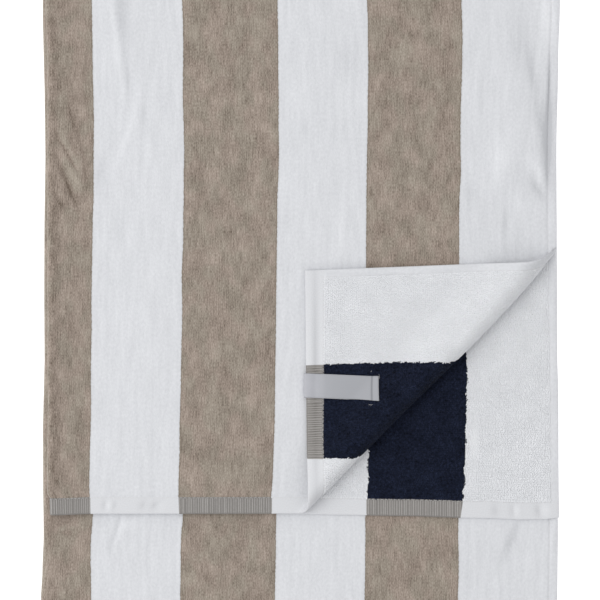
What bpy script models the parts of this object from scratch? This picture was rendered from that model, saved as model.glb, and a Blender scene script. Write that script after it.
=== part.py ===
"""A striped bath towel, folded twice, with one corner turned back to show the label on its hem.

The towel is one sheet. It is modelled flat first, as it comes off the loom, and a fold rule then
carries every point of it to its place. On the flat sheet u runs across the towel, v runs along it
from the end hem that ends up on top, and w runs through the cloth, plus on the velour face.

The rule folds in the order of a maker's hands:
1. the corner at the plus-u end of the hem is rolled back over the face, along a slanted crest;
2. the sheet is folded lengthwise at u = 0, face outwards, with that fold at the left;
3. the pair of layers is folded crosswise, so that four layers lie on the surface at z = 0.

The label is a flat strip that the same rule carries along, because it is sewn to the hem.

+X runs from the lengthwise fold to the selvedges, +Y from the end hems to the crosswise fold and
+Z up. The origin is on the underside, in the middle of the folded towel.
"""

import math

import bmesh
import bpy
import numpy as np

# Cloth
TOWEL_WIDTH = 0.700
TOWEL_LENGTH = 1.400
PILE_THICKNESS = 0.0028
HEM_THICKNESS = 0.0020
END_HEM = 0.0125  # width of the flat hem at each end
HEM_STEP = 0.0008  # over this much the pile starts beside the hem
COLOUR_STRIPE = 0.0646
WHITE_STRIPE = 0.0610

# Folds, each radius at the middle of the cloth
LAYER_GAP = 0.0005
SIDE_FOLD_RADIUS = 0.0021
TOP_FOLD_RADIUS = 0.0022
FOLD_SETTLING = 0.030  # a fold's fullness is gone this far from it
LOWER_OVERHANG = 0.092  # the lower layers reach this far past the hems that lie on top

# Turned corner
CREST_ON_HEM = 0.1725  # from the corner to the crest, along the end hem
CREST_ON_SIDE = 0.1765  # from the corner to the crest, along the selvedge
ROLL_RADIUS = 0.0045
FLAP_TAKE_UP = 0.955  # the flap lies a little slack, so it is shorter than its cloth
FLAP_SLIP = 0.017  # and a little askew, by this much of the distance from the roll
FLAP_RISE = 0.0036  # from the middle of the layer below to the middle of the flap
FLAP_SETTLING = 0.026
CREST_BOW = 0.0030
CREST_BOW_PLACE = 0.085  # from the selvedge end of the crest
CREST_BOW_LENGTH = 0.060
CREST_BOW_DEPTH = 0.022

# Label
LABEL_LENGTH = 0.0515
LABEL_WIDTH = 0.0178
LABEL_THICKNESS = 0.0005
LABEL_CLEARANCE = 0.0004
LABEL_FROM_SIDE = 0.0815  # its centre line, from the selvedge
LABEL_BACK_LEG = 0.0110
LABEL_SLANT = 0.034
LABEL_STEP = 0.004  # over this much it climbs from the hem to the pile

# Where the edges wander: place along the towel, then the shift in x of fold edge and selvedge
EDGE_WANDER = (
    # v, fold edge, selvedge
    (0.000, 0.0034, 0.0022),
    (0.014, -0.0005, 0.0022),
    (0.045, -0.0009, 0.0017),
    (0.078, -0.0007, 0.0017),
    (0.112, 0.0003, 0.0010),
    (0.146, -0.0001, 0.0003),
    (0.190, -0.0001, 0.0003),
    (0.250, 0.0007, 0.0003),
    (0.310, 0.0002, 0.0017),
    (0.350, -0.0010, 0.0031),
    (0.500, 0.0000, 0.0015),
    (0.650, 0.0000, 0.0005),
    (1.000, 0.0000, 0.0000),
    (1.305, -0.0008, 0.0010),
    (1.365, -0.0022, 0.0005),
    (1.400, -0.0015, 0.0005),
)
FOLD_WANDER_REACH = 0.045
SELVEDGE_WANDER_REACH = 0.110

# Where the upper end hem wanders: place across the towel, then its shift in y
HEM_WANDER = (
    # u, shift
    (-0.350, -0.0024),
    (-0.336, -0.0040),
    (-0.285, -0.0024),
    (-0.205, -0.0013),
    (0.000, -0.0012),
    (0.035, 0.0000),
    (0.175, 0.0009),
    (0.350, 0.0009),
)
HEM_WANDER_REACH = 0.060

# Soft swells of the top layer: middle, heading from +X, half length, half width and height
SWELLS = (
    # x, y, heading in degrees, half length, half width, height
    (-0.155, -0.040, -62.0, 0.034, 0.011, 0.0018),
    (-0.118, 0.045, -80.0, 0.060, 0.012, 0.0010),
    (-0.098, -0.150, 84.0, 0.070, 0.016, 0.0007),
    (0.006, 0.010, 88.0, 0.090, 0.018, 0.0008),
    (0.150, 0.020, 86.0, 0.075, 0.012, 0.0014),
    (0.125, -0.060, 48.0, 0.040, 0.012, 0.0012),
    (-0.020, 0.220, 70.0, 0.110, 0.022, 0.0012),
    (0.110, 0.250, -75.0, 0.080, 0.020, 0.0010),
)

# Places of the flat sheet's grid lines between its folds and hems
U_LINES_ABOVE = (0.0075, 0.014, 0.022, 0.0323, 0.050, 0.072, 0.0933, 0.115, 0.137, 0.1579,
                 0.178, 0.198, 0.2189, 0.240, 0.262, 0.2835, 0.306, 0.328, 0.343)
U_LINES_BELOW = (0.0075, 0.014, 0.022, 0.0323, 0.0933, 0.1579, 0.2189, 0.2835, 0.320, 0.336)
V_LINES_UPPER = (0.026, 0.040, 0.056, 0.072, 0.088, 0.104, 0.120, 0.136, 0.152, 0.168, 0.186,
                 0.205, 0.226, 0.248, 0.270, 0.295, 0.325, 0.360, 0.400, 0.445, 0.500, 0.560,
                 0.605, 0.632)
V_LINES_LOWER = (0.680, 0.720, 0.800, 0.920, 1.050, 1.180, 1.270, 1.310, 1.345, 1.370)
FOLD_SEGMENTS = 6
TOP_FOLD_SEGMENTS = 8
ROLL_SEGMENTS = 8
FLAP_CUTS = (0.005, 0.010, 0.015, 0.020, 0.025)  # cuts where the flap settles, from the roll
CUT_SNAP = 0.0012
NORMAL_STEP = 1e-5

# Worked out from the sizes above
HALF_WIDTH = TOWEL_WIDTH / 2
HALF_LAYER = (PILE_THICKNESS + LAYER_GAP) / 2  # half the distance between two layers
PAIR_RADIUS = HALF_LAYER + TOP_FOLD_RADIUS
TOP_FOLD_ARC = math.pi * PAIR_RADIUS
FOLD_START = (TOWEL_LENGTH - TOP_FOLD_ARC - LOWER_OVERHANG) / 2  # v where the crosswise fold starts
TOP_FOLD_REACH = PAIR_RADIUS + HALF_LAYER + PILE_THICKNESS / 2
FOLDED_LENGTH = FOLD_START + LOWER_OVERHANG + TOP_FOLD_REACH
HEM_Y = LOWER_OVERHANG - FOLDED_LENGTH / 2
FOLD_START_Y = HEM_Y + FOLD_START
FOLDED_LEFT = -HALF_WIDTH / 2
CREST_LENGTH = math.hypot(CREST_ON_HEM, CREST_ON_SIDE)
CREST_U, CREST_V = CREST_ON_HEM / CREST_LENGTH, CREST_ON_SIDE / CREST_LENGTH
OUTWARD_U, OUTWARD_V = CREST_V, -CREST_U


def smooth(share):
    """Rises from 0 to 1 with level ends, as share goes from 0 to 1."""
    share = np.clip(share, 0.0, 1.0)
    return share * share * (3.0 - 2.0 * share)


def eased(place, table, column):
    """Reads a column of a table whose first column is the place, level at each row."""
    places = np.array([row[0] for row in table])
    values = np.array([row[column] for row in table])
    row = np.clip(np.searchsorted(places, place) - 1, 0, len(places) - 2)
    share = (place - places[row]) / (places[row + 1] - places[row])
    return values[row] + (values[row + 1] - values[row]) * smooth(share)


def thickness(v):
    """Full pile between the end hems, which are flat woven and thinner."""
    from_end = np.minimum(v, TOWEL_LENGTH - v)
    pile = smooth((from_end - END_HEM) / HEM_STEP)
    return HEM_THICKNESS + (PILE_THICKNESS - HEM_THICKNESS) * pile


def turn_corner(u, v):
    """Rolls the corner back along its crest: a half circle, then the flap, which settles flat."""
    from_crest_u = u - (HALF_WIDTH - CREST_ON_HEM)
    along = from_crest_u * CREST_U + v * CREST_V
    outward = from_crest_u * OUTWARD_U + v * OUTWARD_V
    arc = outward + ROLL_RADIUS
    angle = np.clip(arc / ROLL_RADIUS, 0.0, math.pi)
    flap = np.maximum(arc - math.pi * ROLL_RADIUS, 0.0)
    rolled = ROLL_RADIUS * (np.sin(angle) - 1.0) - FLAP_TAKE_UP * flap
    outward = np.where(arc > 0.0, rolled, outward)
    along = along + FLAP_SLIP * flap
    rise = ROLL_RADIUS * (1.0 - np.cos(angle))
    rise -= (2.0 * ROLL_RADIUS - FLAP_RISE) * smooth(flap / FLAP_SETTLING)
    from_bow = (CREST_LENGTH - CREST_BOW_PLACE - along) / CREST_BOW_LENGTH
    outward = outward + CREST_BOW * np.exp(-from_bow**2 - (outward / CREST_BOW_DEPTH) ** 2)
    turned_u = HALF_WIDTH - CREST_ON_HEM + along * CREST_U + outward * OUTWARD_U
    turned_v = along * CREST_V + outward * OUTWARD_V
    return turned_u, turned_v, rise


def fold_lengthwise(u, v):
    """Folds at u = 0 with a round edge. Gives x, the side's offset and half the pair's opening."""
    across = np.abs(u)
    quarter = math.pi / 2 * SIDE_FOLD_RADIUS
    angle = np.minimum(across / SIDE_FOLD_RADIUS, math.pi / 2)
    beyond = np.maximum(across - quarter, 0.0)
    from_fold = SIDE_FOLD_RADIUS * (1.0 - np.cos(angle)) + beyond
    opening = HALF_LAYER + (SIDE_FOLD_RADIUS - HALF_LAYER) * (1.0 - smooth(beyond / FOLD_SETTLING))
    offset = np.sign(u) * np.where(beyond > 0.0, opening, SIDE_FOLD_RADIUS * np.sin(angle))
    near_fold = 1.0 - smooth(from_fold / FOLD_WANDER_REACH)
    near_selvedge = 1.0 - smooth((HALF_WIDTH - from_fold) / SELVEDGE_WANDER_REACH)
    shift = eased(v, EDGE_WANDER, 1) * near_fold + eased(v, EDGE_WANDER, 2) * near_selvedge
    x = FOLDED_LEFT + from_fold + shift
    return x, offset, opening


def top_swell(x, y):
    """Height of the soft swells on the top layer: each is a bell along and across its heading."""
    height = np.zeros_like(x)
    for middle_x, middle_y, heading, half_length, half_width, swell in SWELLS:
        turn = math.radians(heading)
        along = (x - middle_x) * math.cos(turn) + (y - middle_y) * math.sin(turn)
        across = (y - middle_y) * math.cos(turn) - (x - middle_x) * math.sin(turn)
        height += swell * np.exp(-((along / half_length) ** 2) - (across / half_width) ** 2)
    inside = smooth((x - FOLDED_LEFT - 2 * SIDE_FOLD_RADIUS) / FOLD_SETTLING)
    return height * inside * smooth((FOLD_START_Y - y) / FOLD_SETTLING)


def fold_crosswise(u, x, v, offset, opening):
    """Carries the pair along its profile: flat above, half round the fold, flat below."""
    bottom = PILE_THICKNESS / 2 + opening
    bend = np.clip((v - FOLD_START) / TOP_FOLD_ARC, 0.0, 1.0) * math.pi
    before = np.maximum(FOLD_START - v, 0.0)
    after = np.maximum(v - FOLD_START - TOP_FOLD_ARC, 0.0)
    settled = smooth(before / (2.0 * FOLD_SETTLING))
    inner = TOP_FOLD_RADIUS + (HALF_LAYER - TOP_FOLD_RADIUS) * settled
    radius = opening + inner
    y = FOLD_START_Y - before - after + (radius + offset) * np.sin(bend)
    y = y + eased(u, HEM_WANDER, 1) * (1.0 - smooth(v / HEM_WANDER_REACH))
    z = bottom + radius + (radius + offset) * np.cos(bend)
    on_top = (offset > 0.0) & (before > 0.0)
    z = z + np.where(on_top, top_swell(x, y), 0.0)
    return np.stack([x, y, z], axis=-1)


def middle_of_cloth(u, v):
    """The folded place of the middle of the cloth at (u, v)."""
    turned_u, turned_v, rise = turn_corner(u, v)
    x, offset, opening = fold_lengthwise(turned_u, turned_v)
    return fold_crosswise(u, x, turned_v, offset, opening) + rise[..., None] * (0.0, 0.0, 1.0)


def folded(flat):
    """The folded places of points (u, v, w): the middle of the cloth, then w along its normal."""
    u, v, w = flat.T
    du = middle_of_cloth(u + NORMAL_STEP, v) - middle_of_cloth(u - NORMAL_STEP, v)
    dv = middle_of_cloth(u, v + NORMAL_STEP) - middle_of_cloth(u, v - NORMAL_STEP)
    normal = np.cross(du, dv)
    normal /= np.linalg.norm(normal, axis=-1, keepdims=True)
    return middle_of_cloth(u, v) + w[:, None] * normal


def fold_mesh(bm):
    """Moves every vertex of a flat mesh to its folded place."""
    flat = np.array([vertex.co for vertex in bm.verts], dtype=float)
    for vertex, place in zip(bm.verts, folded(flat)):
        vertex.co = place


def grid_lines():
    """The sheet's grid lines across and along it, close together where it is folded."""
    quarter = math.pi / 2 * SIDE_FOLD_RADIUS
    fold = [quarter * step * 2 / FOLD_SEGMENTS for step in range(1, FOLD_SEGMENTS // 2 + 1)]
    above = fold + list(U_LINES_ABOVE) + [HALF_WIDTH]
    below = fold + list(U_LINES_BELOW) + [HALF_WIDTH]
    u_lines = [-line for line in reversed(below)] + [0.0] + above
    bend = [FOLD_START + TOP_FOLD_ARC * step / TOP_FOLD_SEGMENTS
            for step in range(TOP_FOLD_SEGMENTS + 1)]
    first_hem = [0.0, END_HEM, END_HEM + HEM_STEP]
    last_hem = [TOWEL_LENGTH - line for line in reversed(first_hem)]
    v_lines = first_hem + list(V_LINES_UPPER) + bend + list(V_LINES_LOWER) + last_hem
    return u_lines, v_lines


def add_grid(bm, u_lines, v_lines):
    """A flat grid of quads in the plane w = 0."""
    rows = [[bm.verts.new((u, v, 0.0)) for u in u_lines] for v in v_lines]
    for lower, upper in zip(rows, rows[1:]):
        for column in range(len(u_lines) - 1):
            bm.faces.new((lower[column], lower[column + 1], upper[column + 1], upper[column]))


def cut_along_crest(bm):
    """Cuts the flat sheet along the lines where the roll bends and where the flap settles."""
    roll_end = math.pi * ROLL_RADIUS
    arcs = [roll_end * step / ROLL_SEGMENTS for step in range(ROLL_SEGMENTS + 1)]
    arcs += [roll_end + cut for cut in FLAP_CUTS]
    for arc in arcs:
        outward = arc - ROLL_RADIUS
        point = (HALF_WIDTH - CREST_ON_HEM + outward * OUTWARD_U, outward * OUTWARD_V, 0.0)
        bmesh.ops.bisect_plane(
            bm,
            geom=bm.verts[:] + bm.edges[:] + bm.faces[:],
            dist=CUT_SNAP,
            plane_co=point,
            plane_no=(OUTWARD_U, OUTWARD_V, 0.0),
        )
    bmesh.ops.triangulate(bm, faces=[face for face in bm.faces if len(face.verts) > 4])


def thicken(bm, low, high):
    """Turns a flat mesh into a closed slab between the heights that low(v) and high(v) give."""
    bottom = bm.verts[:]
    made = bmesh.ops.extrude_face_region(bm, geom=bm.faces[:])["geom"]
    top = [item for item in made if isinstance(item, bmesh.types.BMVert)]
    for vertices, height in ((bottom, low), (top, high)):
        levels = height(np.array([vertex.co.y for vertex in vertices]))
        for vertex, level in zip(vertices, levels):
            vertex.co.z = level
    bmesh.ops.recalc_face_normals(bm, faces=bm.faces[:])


def fabric(name, colour, roughness):
    """A plain cloth material."""
    material = bpy.data.materials.new(name)
    material.use_nodes = True
    shader = material.node_tree.nodes["Principled BSDF"]
    shader.inputs["Base Color"].default_value = (*colour, 1.0)
    shader.inputs["Roughness"].default_value = roughness
    shader.inputs["Metallic"].default_value = 0.0
    shader.inputs["Sheen Weight"].default_value = 0.3
    return material


def stripe_material(face):
    """Slot of a flat face: 0 white, 1 beige velour, 2 navy terry, 3 grey flat-woven hem."""
    middle = face.calc_center_median()
    across = abs(middle.x) - COLOUR_STRIPE / 2
    repeat = WHITE_STRIPE + COLOUR_STRIPE
    edge_white = 2 * repeat
    coloured = across < 0.0 or (across < edge_white and across % repeat > WHITE_STRIPE)
    if not coloured:
        return 0
    if min(middle.y, TOWEL_LENGTH - middle.y) < END_HEM:
        return 3
    return 1 if face.normal.z >= 0.0 else 2


def new_object(name, bm, materials):
    """Puts the mesh in the scene under its name, smooth but for its rims."""
    mesh = bpy.data.meshes.new(name)
    bm.to_mesh(mesh)
    bm.free()
    for material in materials:
        mesh.materials.append(material)
    mesh.shade_smooth()
    mesh.set_sharp_from_angle(angle=math.radians(50.0))
    obj = bpy.data.objects.new(name, mesh)
    bpy.context.scene.collection.objects.link(obj)
    return obj


def make_towel():
    """The towel: one slab, cut along the crest, striped while flat and then folded."""
    bm = bmesh.new()
    add_grid(bm, *grid_lines())
    cut_along_crest(bm)
    thicken(bm, lambda v: -thickness(v) / 2, lambda v: thickness(v) / 2)
    bm.normal_update()
    for face in bm.faces:
        face.material_index = stripe_material(face)
    fold_mesh(bm)
    materials = (
        fabric("white_pile", (0.72, 0.73, 0.76), 0.9),
        fabric("beige_velour", (0.31, 0.26, 0.22), 0.85),
        fabric("navy_terry", (0.012, 0.015, 0.028), 0.9),
        fabric("grey_hem", (0.32, 0.30, 0.28), 0.8),
    )
    return new_object("towel", bm, materials)


def label_lines():
    """Stations of the label along its length, as (place, v, side): round the hem's outer edge.

    The back leg comes first, on the velour side, then the turn, then the front on the terry side.
    """
    turn_steps = 6
    back = [(LABEL_BACK_LEG * share, math.pi / 2) for share in (1.0, 0.5, 0.0)]
    turn = [(0.0, math.pi / 2 - math.pi * step / turn_steps) for step in range(1, turn_steps)]
    front_places = (0.0, END_HEM - LABEL_STEP, END_HEM, 0.026, 0.038, LABEL_LENGTH)
    front = [(place, -math.pi / 2) for place in front_places]
    return back + turn + front


def make_label():
    """The label: a thin strip that starts under the hem, turns round its edge and lies on top."""
    columns = 4
    middle_u = HALF_WIDTH - LABEL_FROM_SIDE
    bm = bmesh.new()
    layers = []
    for level in (0.0, 1.0):
        rows = []
        for place, side in label_lines():
            row = []
            for column in range(columns + 1):
                u = middle_u + LABEL_WIDTH * (column / columns - 0.5) - LABEL_SLANT * place
                depth = float(thickness(np.array(place + HEM_STEP))) / 2
                depth += LABEL_CLEARANCE + LABEL_THICKNESS * level
                v = place - depth * math.cos(side)
                row.append(bm.verts.new((u, v, depth * math.sin(side))))
            rows.append(row)
        layers.append(rows)
    inner, outer = layers
    last_row, last_column = len(inner) - 1, columns
    for row in range(last_row):
        for column in range(last_column):
            for layer in layers:
                bm.faces.new((layer[row][column], layer[row][column + 1],
                              layer[row + 1][column + 1], layer[row + 1][column]))
        for column in (0, last_column):
            bm.faces.new((inner[row][column], inner[row + 1][column],
                          outer[row + 1][column], outer[row][column]))
    for row in (0, last_row):
        for column in range(last_column):
            bm.faces.new((inner[row][column], inner[row][column + 1],
                          outer[row][column + 1], outer[row][column]))
    bmesh.ops.recalc_face_normals(bm, faces=bm.faces[:])
    fold_mesh(bm)
    return new_object("label", bm, (fabric("grey_satin", (0.36, 0.38, 0.41), 0.35),))


def main():
    for obj in list(bpy.data.objects):
        bpy.data.objects.remove(obj)
    make_towel()
    make_label()


if __name__ == "__main__":
    main()
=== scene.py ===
"""The looks of a folded bath towel: striped velour face, looped back, flat hems and a satin label.

Every soft piece is worked out flat, as it comes off the loom, and one fold rule carries it to its
place. On the flat towel u runs across, v runs along from the end hem that ends up on top, and w runs
through the cloth, plus on the velour face. All sizes are metres.

+X runs from the lengthwise fold to the selvedges, +Y from the end hems to the crosswise fold and +Z
up. The origin is on the underside, in the middle of the folded towel.
"""

import logging
import math
from dataclasses import dataclass, field, replace
from enum import Enum
from typing import NamedTuple

import bpy
import numpy as np
from numpy.typing import NDArray
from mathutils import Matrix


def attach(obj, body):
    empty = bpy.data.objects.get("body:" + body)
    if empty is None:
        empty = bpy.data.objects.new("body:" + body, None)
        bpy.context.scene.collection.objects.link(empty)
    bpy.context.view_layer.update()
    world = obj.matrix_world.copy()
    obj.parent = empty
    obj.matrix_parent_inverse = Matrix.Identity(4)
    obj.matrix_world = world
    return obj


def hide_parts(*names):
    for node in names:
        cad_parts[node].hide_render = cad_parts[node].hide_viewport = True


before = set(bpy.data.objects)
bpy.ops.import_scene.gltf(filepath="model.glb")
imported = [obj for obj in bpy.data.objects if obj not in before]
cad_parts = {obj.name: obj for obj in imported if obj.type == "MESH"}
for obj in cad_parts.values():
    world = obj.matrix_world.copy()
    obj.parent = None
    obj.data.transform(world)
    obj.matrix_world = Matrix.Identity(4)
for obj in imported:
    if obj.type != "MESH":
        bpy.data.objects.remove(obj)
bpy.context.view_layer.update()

Array = NDArray[np.float64]
Whole = NDArray[np.int32]
Colour = tuple[float, float, float]
Shades = tuple[Colour, Colour]
Socket = bpy.types.NodeSocket
Pair = tuple[float, float]
Stretches = tuple[Pair, ...]

CLOTH_UV = "cloth"
# The name of the attribute of painted light and shade on the cloth and the loops
PAINTED_LIGHT = "painted_light"
SHEEN_ROUGHNESS = 0.45
LOG = logging.getLogger("towel")


class Side(Enum):
    """The two sides of the cloth, as the sign of w."""

    FACE = 1.0
    BACK = -1.0


class Layer(Enum):
    """The layers of the folded towel that show from above, from the top down."""

    FLAP = "flap"
    TOP = "top"
    SECOND = "second"
    THIRD = "third"


class Yarn(Enum):
    """The colours that the pile is woven from."""

    WHITE = "white"
    NAVY = "navy"


class Swell(NamedTuple):
    """A soft ridge or trough round a middle: a bell along its heading, in degrees, and across it."""

    x: float
    y: float
    heading: float
    half_length: float
    half_width: float
    height: float


def millimetres(*rows: tuple[float, ...]) -> Array:
    """The columns of a table written in millimetres, as metres."""
    return np.array(rows).T / 1000.0


# Places along the towel, with how far the lengthwise fold and the selvedges stray in x
EDGE_SHIFTS = millimetres(
    (0, 4.7, 3.8), (12, 4.5, 3.8), (16, 3, 3.6), (45, 3.2, 3.4), (78, 3.7, 3.3), (112, 3.4, 2.6),
    (146, 3.2, 1.9), (190, 3.3, 1.7), (250, 3.5, 1.8), (310, 3.2, 3), (350, 2, 4.2),
    (500, 1.8, 2.8), (650, 0.2, 2), (958, -0.6, 2), (984, 0.2, 2), (1004, 1.2, 2), (1030, 0.6, 2.1),
    (1059, 1.5, 2.2), (1093, 1.6, 2.4), (1121, 0.4, 2.6), (1145, 0.6, 2.7), (1196, 1.1, 2.8),
    (1230, -0.3, 3), (1285, -0.1, 3.2), (1323, 0.3, 3.3), (1350, -0.6, 3), (1365, -1.5, 2.8),
    (1400, -1.6, 2.8),
)

# Places across the towel, with how far the upper end hem strays in y
HEM_SHIFTS = millimetres(
    (-350, -3.1), (-340, -4.2), (-327, -4.4), (-299, -3.4), (-245, -1.9), (-205, -1.2),
    (-178, -0.6), (-150, 0.2), (-20, -0.2), (0, -1.2), (35, -0.3), (120, -0.3), (175, -0.1),
    (350, 0.9),
)

# The fullness of the whole top layer
SWELLS = (
    Swell(-0.155, -0.040, -62.0, 0.034, 0.011, 0.0018),
    Swell(-0.118, 0.045, -80.0, 0.060, 0.012, 0.0010),
    Swell(-0.098, -0.150, 84.0, 0.070, 0.016, 0.0007),
    Swell(0.006, 0.010, 88.0, 0.090, 0.018, 0.0008),
    Swell(0.150, 0.020, 86.0, 0.075, 0.012, 0.0014),
    Swell(0.125, -0.060, 48.0, 0.040, 0.012, 0.0012),
    Swell(-0.020, 0.220, 70.0, 0.110, 0.022, 0.0012),
    Swell(0.110, 0.250, -75.0, 0.080, 0.020, 0.0010),
)


def creases(*rows: tuple[float, ...]) -> tuple[Swell, ...]:
    """Swells that each run straight from one place to another.

    Args:
        rows: x and y of the start, x and y of the stop, half the width, and the height, which is
            minus for a trough, in millimetres.

    Returns:
        One swell for each row.
    """
    x, y, stop_x, stop_y, half_width, height = millimetres(*rows)
    heading = np.degrees(np.arctan2(stop_y - y, stop_x - x))
    half_length = np.hypot(stop_x - x, stop_y - y) / 2
    middle = (x + stop_x) / 2, (y + stop_y) / 2
    return tuple(map(Swell, *middle, heading, half_length, half_width, height))


# The smaller creases of each layer, whose heights also set painted light on their ridges and painted
# shade in their troughs
CREASES = {
    Layer.TOP: creases(
        # The pinched folds beside the lengthwise fold
        (-165, -18.7, -151, -46.1, 1.7, 0.35), (-164, -26.9, -152.5, -46.5, 1.1, -0.4),
        (-165, -33, -148, -61.9, 2.4, 0.4), (-167.8, -35.8, -153.5, -69, 2.2, -0.45),
        (-160, -53, -154.5, -69, 1.8, -0.4), (-169, -13, -166, -27, 1.8, -0.3),
        (-169.9, -56.4, -163, -63.2, 1, 0.4), (-169, -64, -162.5, -71, 1.8, -0.35),
        (-159, 3, -150, -33, 2, -0.28), (-150, -25, -146, -58, 1.8, -0.35),
        (-149, -69, -145.5, -65.5, 0.9, -0.3), (-156, 13, -150, 9, 3, 0.12),
        # The first white stripe
        (-123, 85, -121.5, 40, 4.6, -0.34), (-120.8, 48, -117.5, -1, 2.2, -0.34),
        (-131, 85, -118.5, -6.4, 2, 0.22), (-110.3, 12.1, -113.7, -10.5, 1.6, 0.2),
        (-113, -8, -126.7, -46.1, 2.2, 0.22), (-107.2, 1.8, -107.5, -22.2, 1.6, -0.26),
        (-133, -33, -139.1, -59.8, 2.8, -0.14), (-104.8, -15.3, -102.8, -42.7, 1.6, 0.16),
        # The second white stripe
        (28, 43, 38, 19, 9, -0.1), (27.4, -70, 28.1, -106, 2.4, 0.15), (2, -10, 3, -23, 2.5, -0.12),
        # The last white stripe and its side hem
        (168, 85, 170, 36.1, 6, 0.3), (156.6, 33, 160.3, 6.5, 2.2, -0.4),
        (160.3, 5, 168, -32, 3, -0.35), (170.8, 28, 170, -5, 1.4, -0.6),
        (170.2, 2, 169.2, -51, 2.8, -1.3), (137, -25, 135, -58, 6, 0.18),
        (156.9, -36, 167.1, -56.4, 2.5, 0.24), (158.3, -53, 166.5, -66.7, 2.4, -0.4),
        (139.7, -75, 140.4, -95, 2, -0.34), (116.5, -50, 116.5, -70, 4, -0.24),
        (148, 60, 152, 20, 8, -0.2), (147.5, -60, 150, -77, 2.2, 0.16),
        # Shallow troughs beside the turned corner, darkened with painted shade along the flap's edge
        (8, -113, 80, -111.5, 3.4, -0.22), (70, -111, 150, -108.5, 3.6, -0.1),
        (110, -104, 176, -101, 7, -0.06),
        # The puckers of the end hem
        (-134.5, -279, -134, -272, 1.6, -0.35), (-131, -279, -130.5, -273, 1.4, 0.35),
        (-127.5, -279, -126.5, -272.5, 1.4, -0.35), (-109.5, -279, -106.5, -272, 2.2, -0.36),
        (-102, -279, -97.5, -272, 2.2, -0.4), (-94.5, -279, -92.5, -272.5, 2, 0.24),
    ),
    Layer.SECOND: creases(
        (142, -181, 147, -250, 4, -0.7), (119.5, -217, 119.5, -247, 3, -0.4),
        (133.5, -275, 133.5, -284, 2.5, -0.35), (145.2, -275, 145, -284, 1.4, -0.4),
        (148.8, -275, 148.6, -284, 1.6, 0.4), (162.5, -275, 163.2, -284, 1.8, -0.5),
        (168, -275, 169, -284, 3, 0.3),
    ),
    Layer.FLAP: creases(
        # The cupped hem
        (6, -115, 7, -265, 2, 0.25), (10, -115, 11, -265, 2.4, -0.5),
        (15, -115, 15.5, -265, 1.6, 0.2),
    ),
    Layer.THIRD: creases(
        (-123.5, -284, -130, -306, 1.6, -0.3), (-121.2, -284, -127.5, -306, 1.4, 0.3),
        (-166, -292, -159, -290.5, 1.2, 0.35), (-159, -290.5, -153, -294.5, 1.2, 0.35),
        (-164, -294.5, -156, -296, 1.4, -0.3), (150, -287, 138, -315, 3, -0.35),
        (118, -306, 118, -338, 3.4, -0.2),
    ),
}

# Places along each layer, with how far its five stripe borders stray outwards
STRIPE_SHIFTS = {
    Layer.TOP: millimetres(
        (0, -1, -0.7, -2.6, -1.5, -1.9), (12, -1.6, -1.1, -2.9, -1.5, -1.9),
        (23, -1.4, -1.1, -1.8, -1.5, -1.9), (43, -1, -0.3, -1.1, -1, -2),
        (61, -0.3, -0.3, -0.4, -1, -2.2), (78, -0.2, 0.3, -0.2, -1, -2.2),
        (95, -0.4, 0.6, -0.1, 0, -2.1), (112, 0, 0.8, 0.3, 0.3, -1.6),
        (129, 0.5, 1.4, 0.5, 0.5, -1.5), (146, 0.3, 1.4, 0.6, 0.6, -1.5),
        (163, 0.5, 1, 0.9, 0.6, -1.5), (187, 1, 2.2, 1.2, 0.6, -1.5),
        (201, 1.3, 2.1, 1.4, 0.8, -1.5), (215, 1.8, 2.5, 1.4, 0.8, -1.3),
        (232, 1.7, 2.5, 2.3, 1, -0.2), (249, 1.7, 2.9, 2.7, 1.3, -0.5),
        (266, 2.1, 2.4, 2.3, 1.8, -0.7), (283, 1.8, 1.9, 2.5, 1.7, -0.5),
        (297, 1.4, 1.9, 2.2, 2.1, -0.1), (311, 1.1, 2.1, 2.1, 2.1, 0.1),
        (324, 1.1, 2.2, 2.1, 1.8, 0.3), (338, 0.9, 1.9, 1.8, 1.9, -0.3),
        (350, 0.8, 1.4, 1.6, 1.2, -0.8), (600, 0, 0, 0, 0, 0),
    ),
    Layer.SECOND: millimetres(
        (0, 0, 0, 0, 1.2, -1.2), (13, 0, 0, 0, 1.4, 0.8), (23, 0, 0, 0, 2, 1.6),
        (43, 0, 0, 0, 2.1, 2.2), (61, 0, 0, 0, 2.1, 2.7), (78, 0, 0, 0, 2.1, 3),
        (95, 0, 0, 0, 2.1, 3.7), (300, 0, 0, 0, 0, 0),
    ),
    Layer.THIRD: millimetres(
        (1200, 0, 0, 0, 0, 0), (1302, 1.8, 2, 0.8, 0.3, -2), (1313, 1.3, 1.6, 0.6, 0.1, -2.3),
        (1323, 0.4, 0.5, 0.3, 0.4, -2.5), (1333, -0.2, 0.2, 0.5, 0.1, -2.1),
        (1350, 0.4, 0.1, 0, 0.1, -2), (1365, 0.7, -0.1, -0.3, -0.3, -2.5),
    ),
}


def smooth(share: Array) -> Array:
    """Rises from 0 to 1 with level ends: 3 share squared less 2 share cubed, held at its ends."""
    share = np.clip(share, 0.0, 1.0)
    return share * share * (3.0 - 2.0 * share)


def eased(place: Array, places: Array, values: Array) -> Array:
    """Reads values between the places of a table, level at each row.

    Args:
        place: where to read.
        places: the table's places, rising.
        values: the table's values at those places.

    Returns:
        The values, blended from row to row by the smooth step.
    """
    row = np.clip(np.searchsorted(places, place) - 1, 0, len(places) - 2)
    share = (place - places[row]) / (places[row + 1] - places[row])
    return values[row] + (values[row + 1] - values[row]) * smooth(share)


def stacked(*parts: float | Array) -> Array:
    """Coordinates or point numbers side by side in a last axis, spread to the shape they share."""
    return np.stack(np.broadcast_arrays(*parts), axis=-1)


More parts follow.
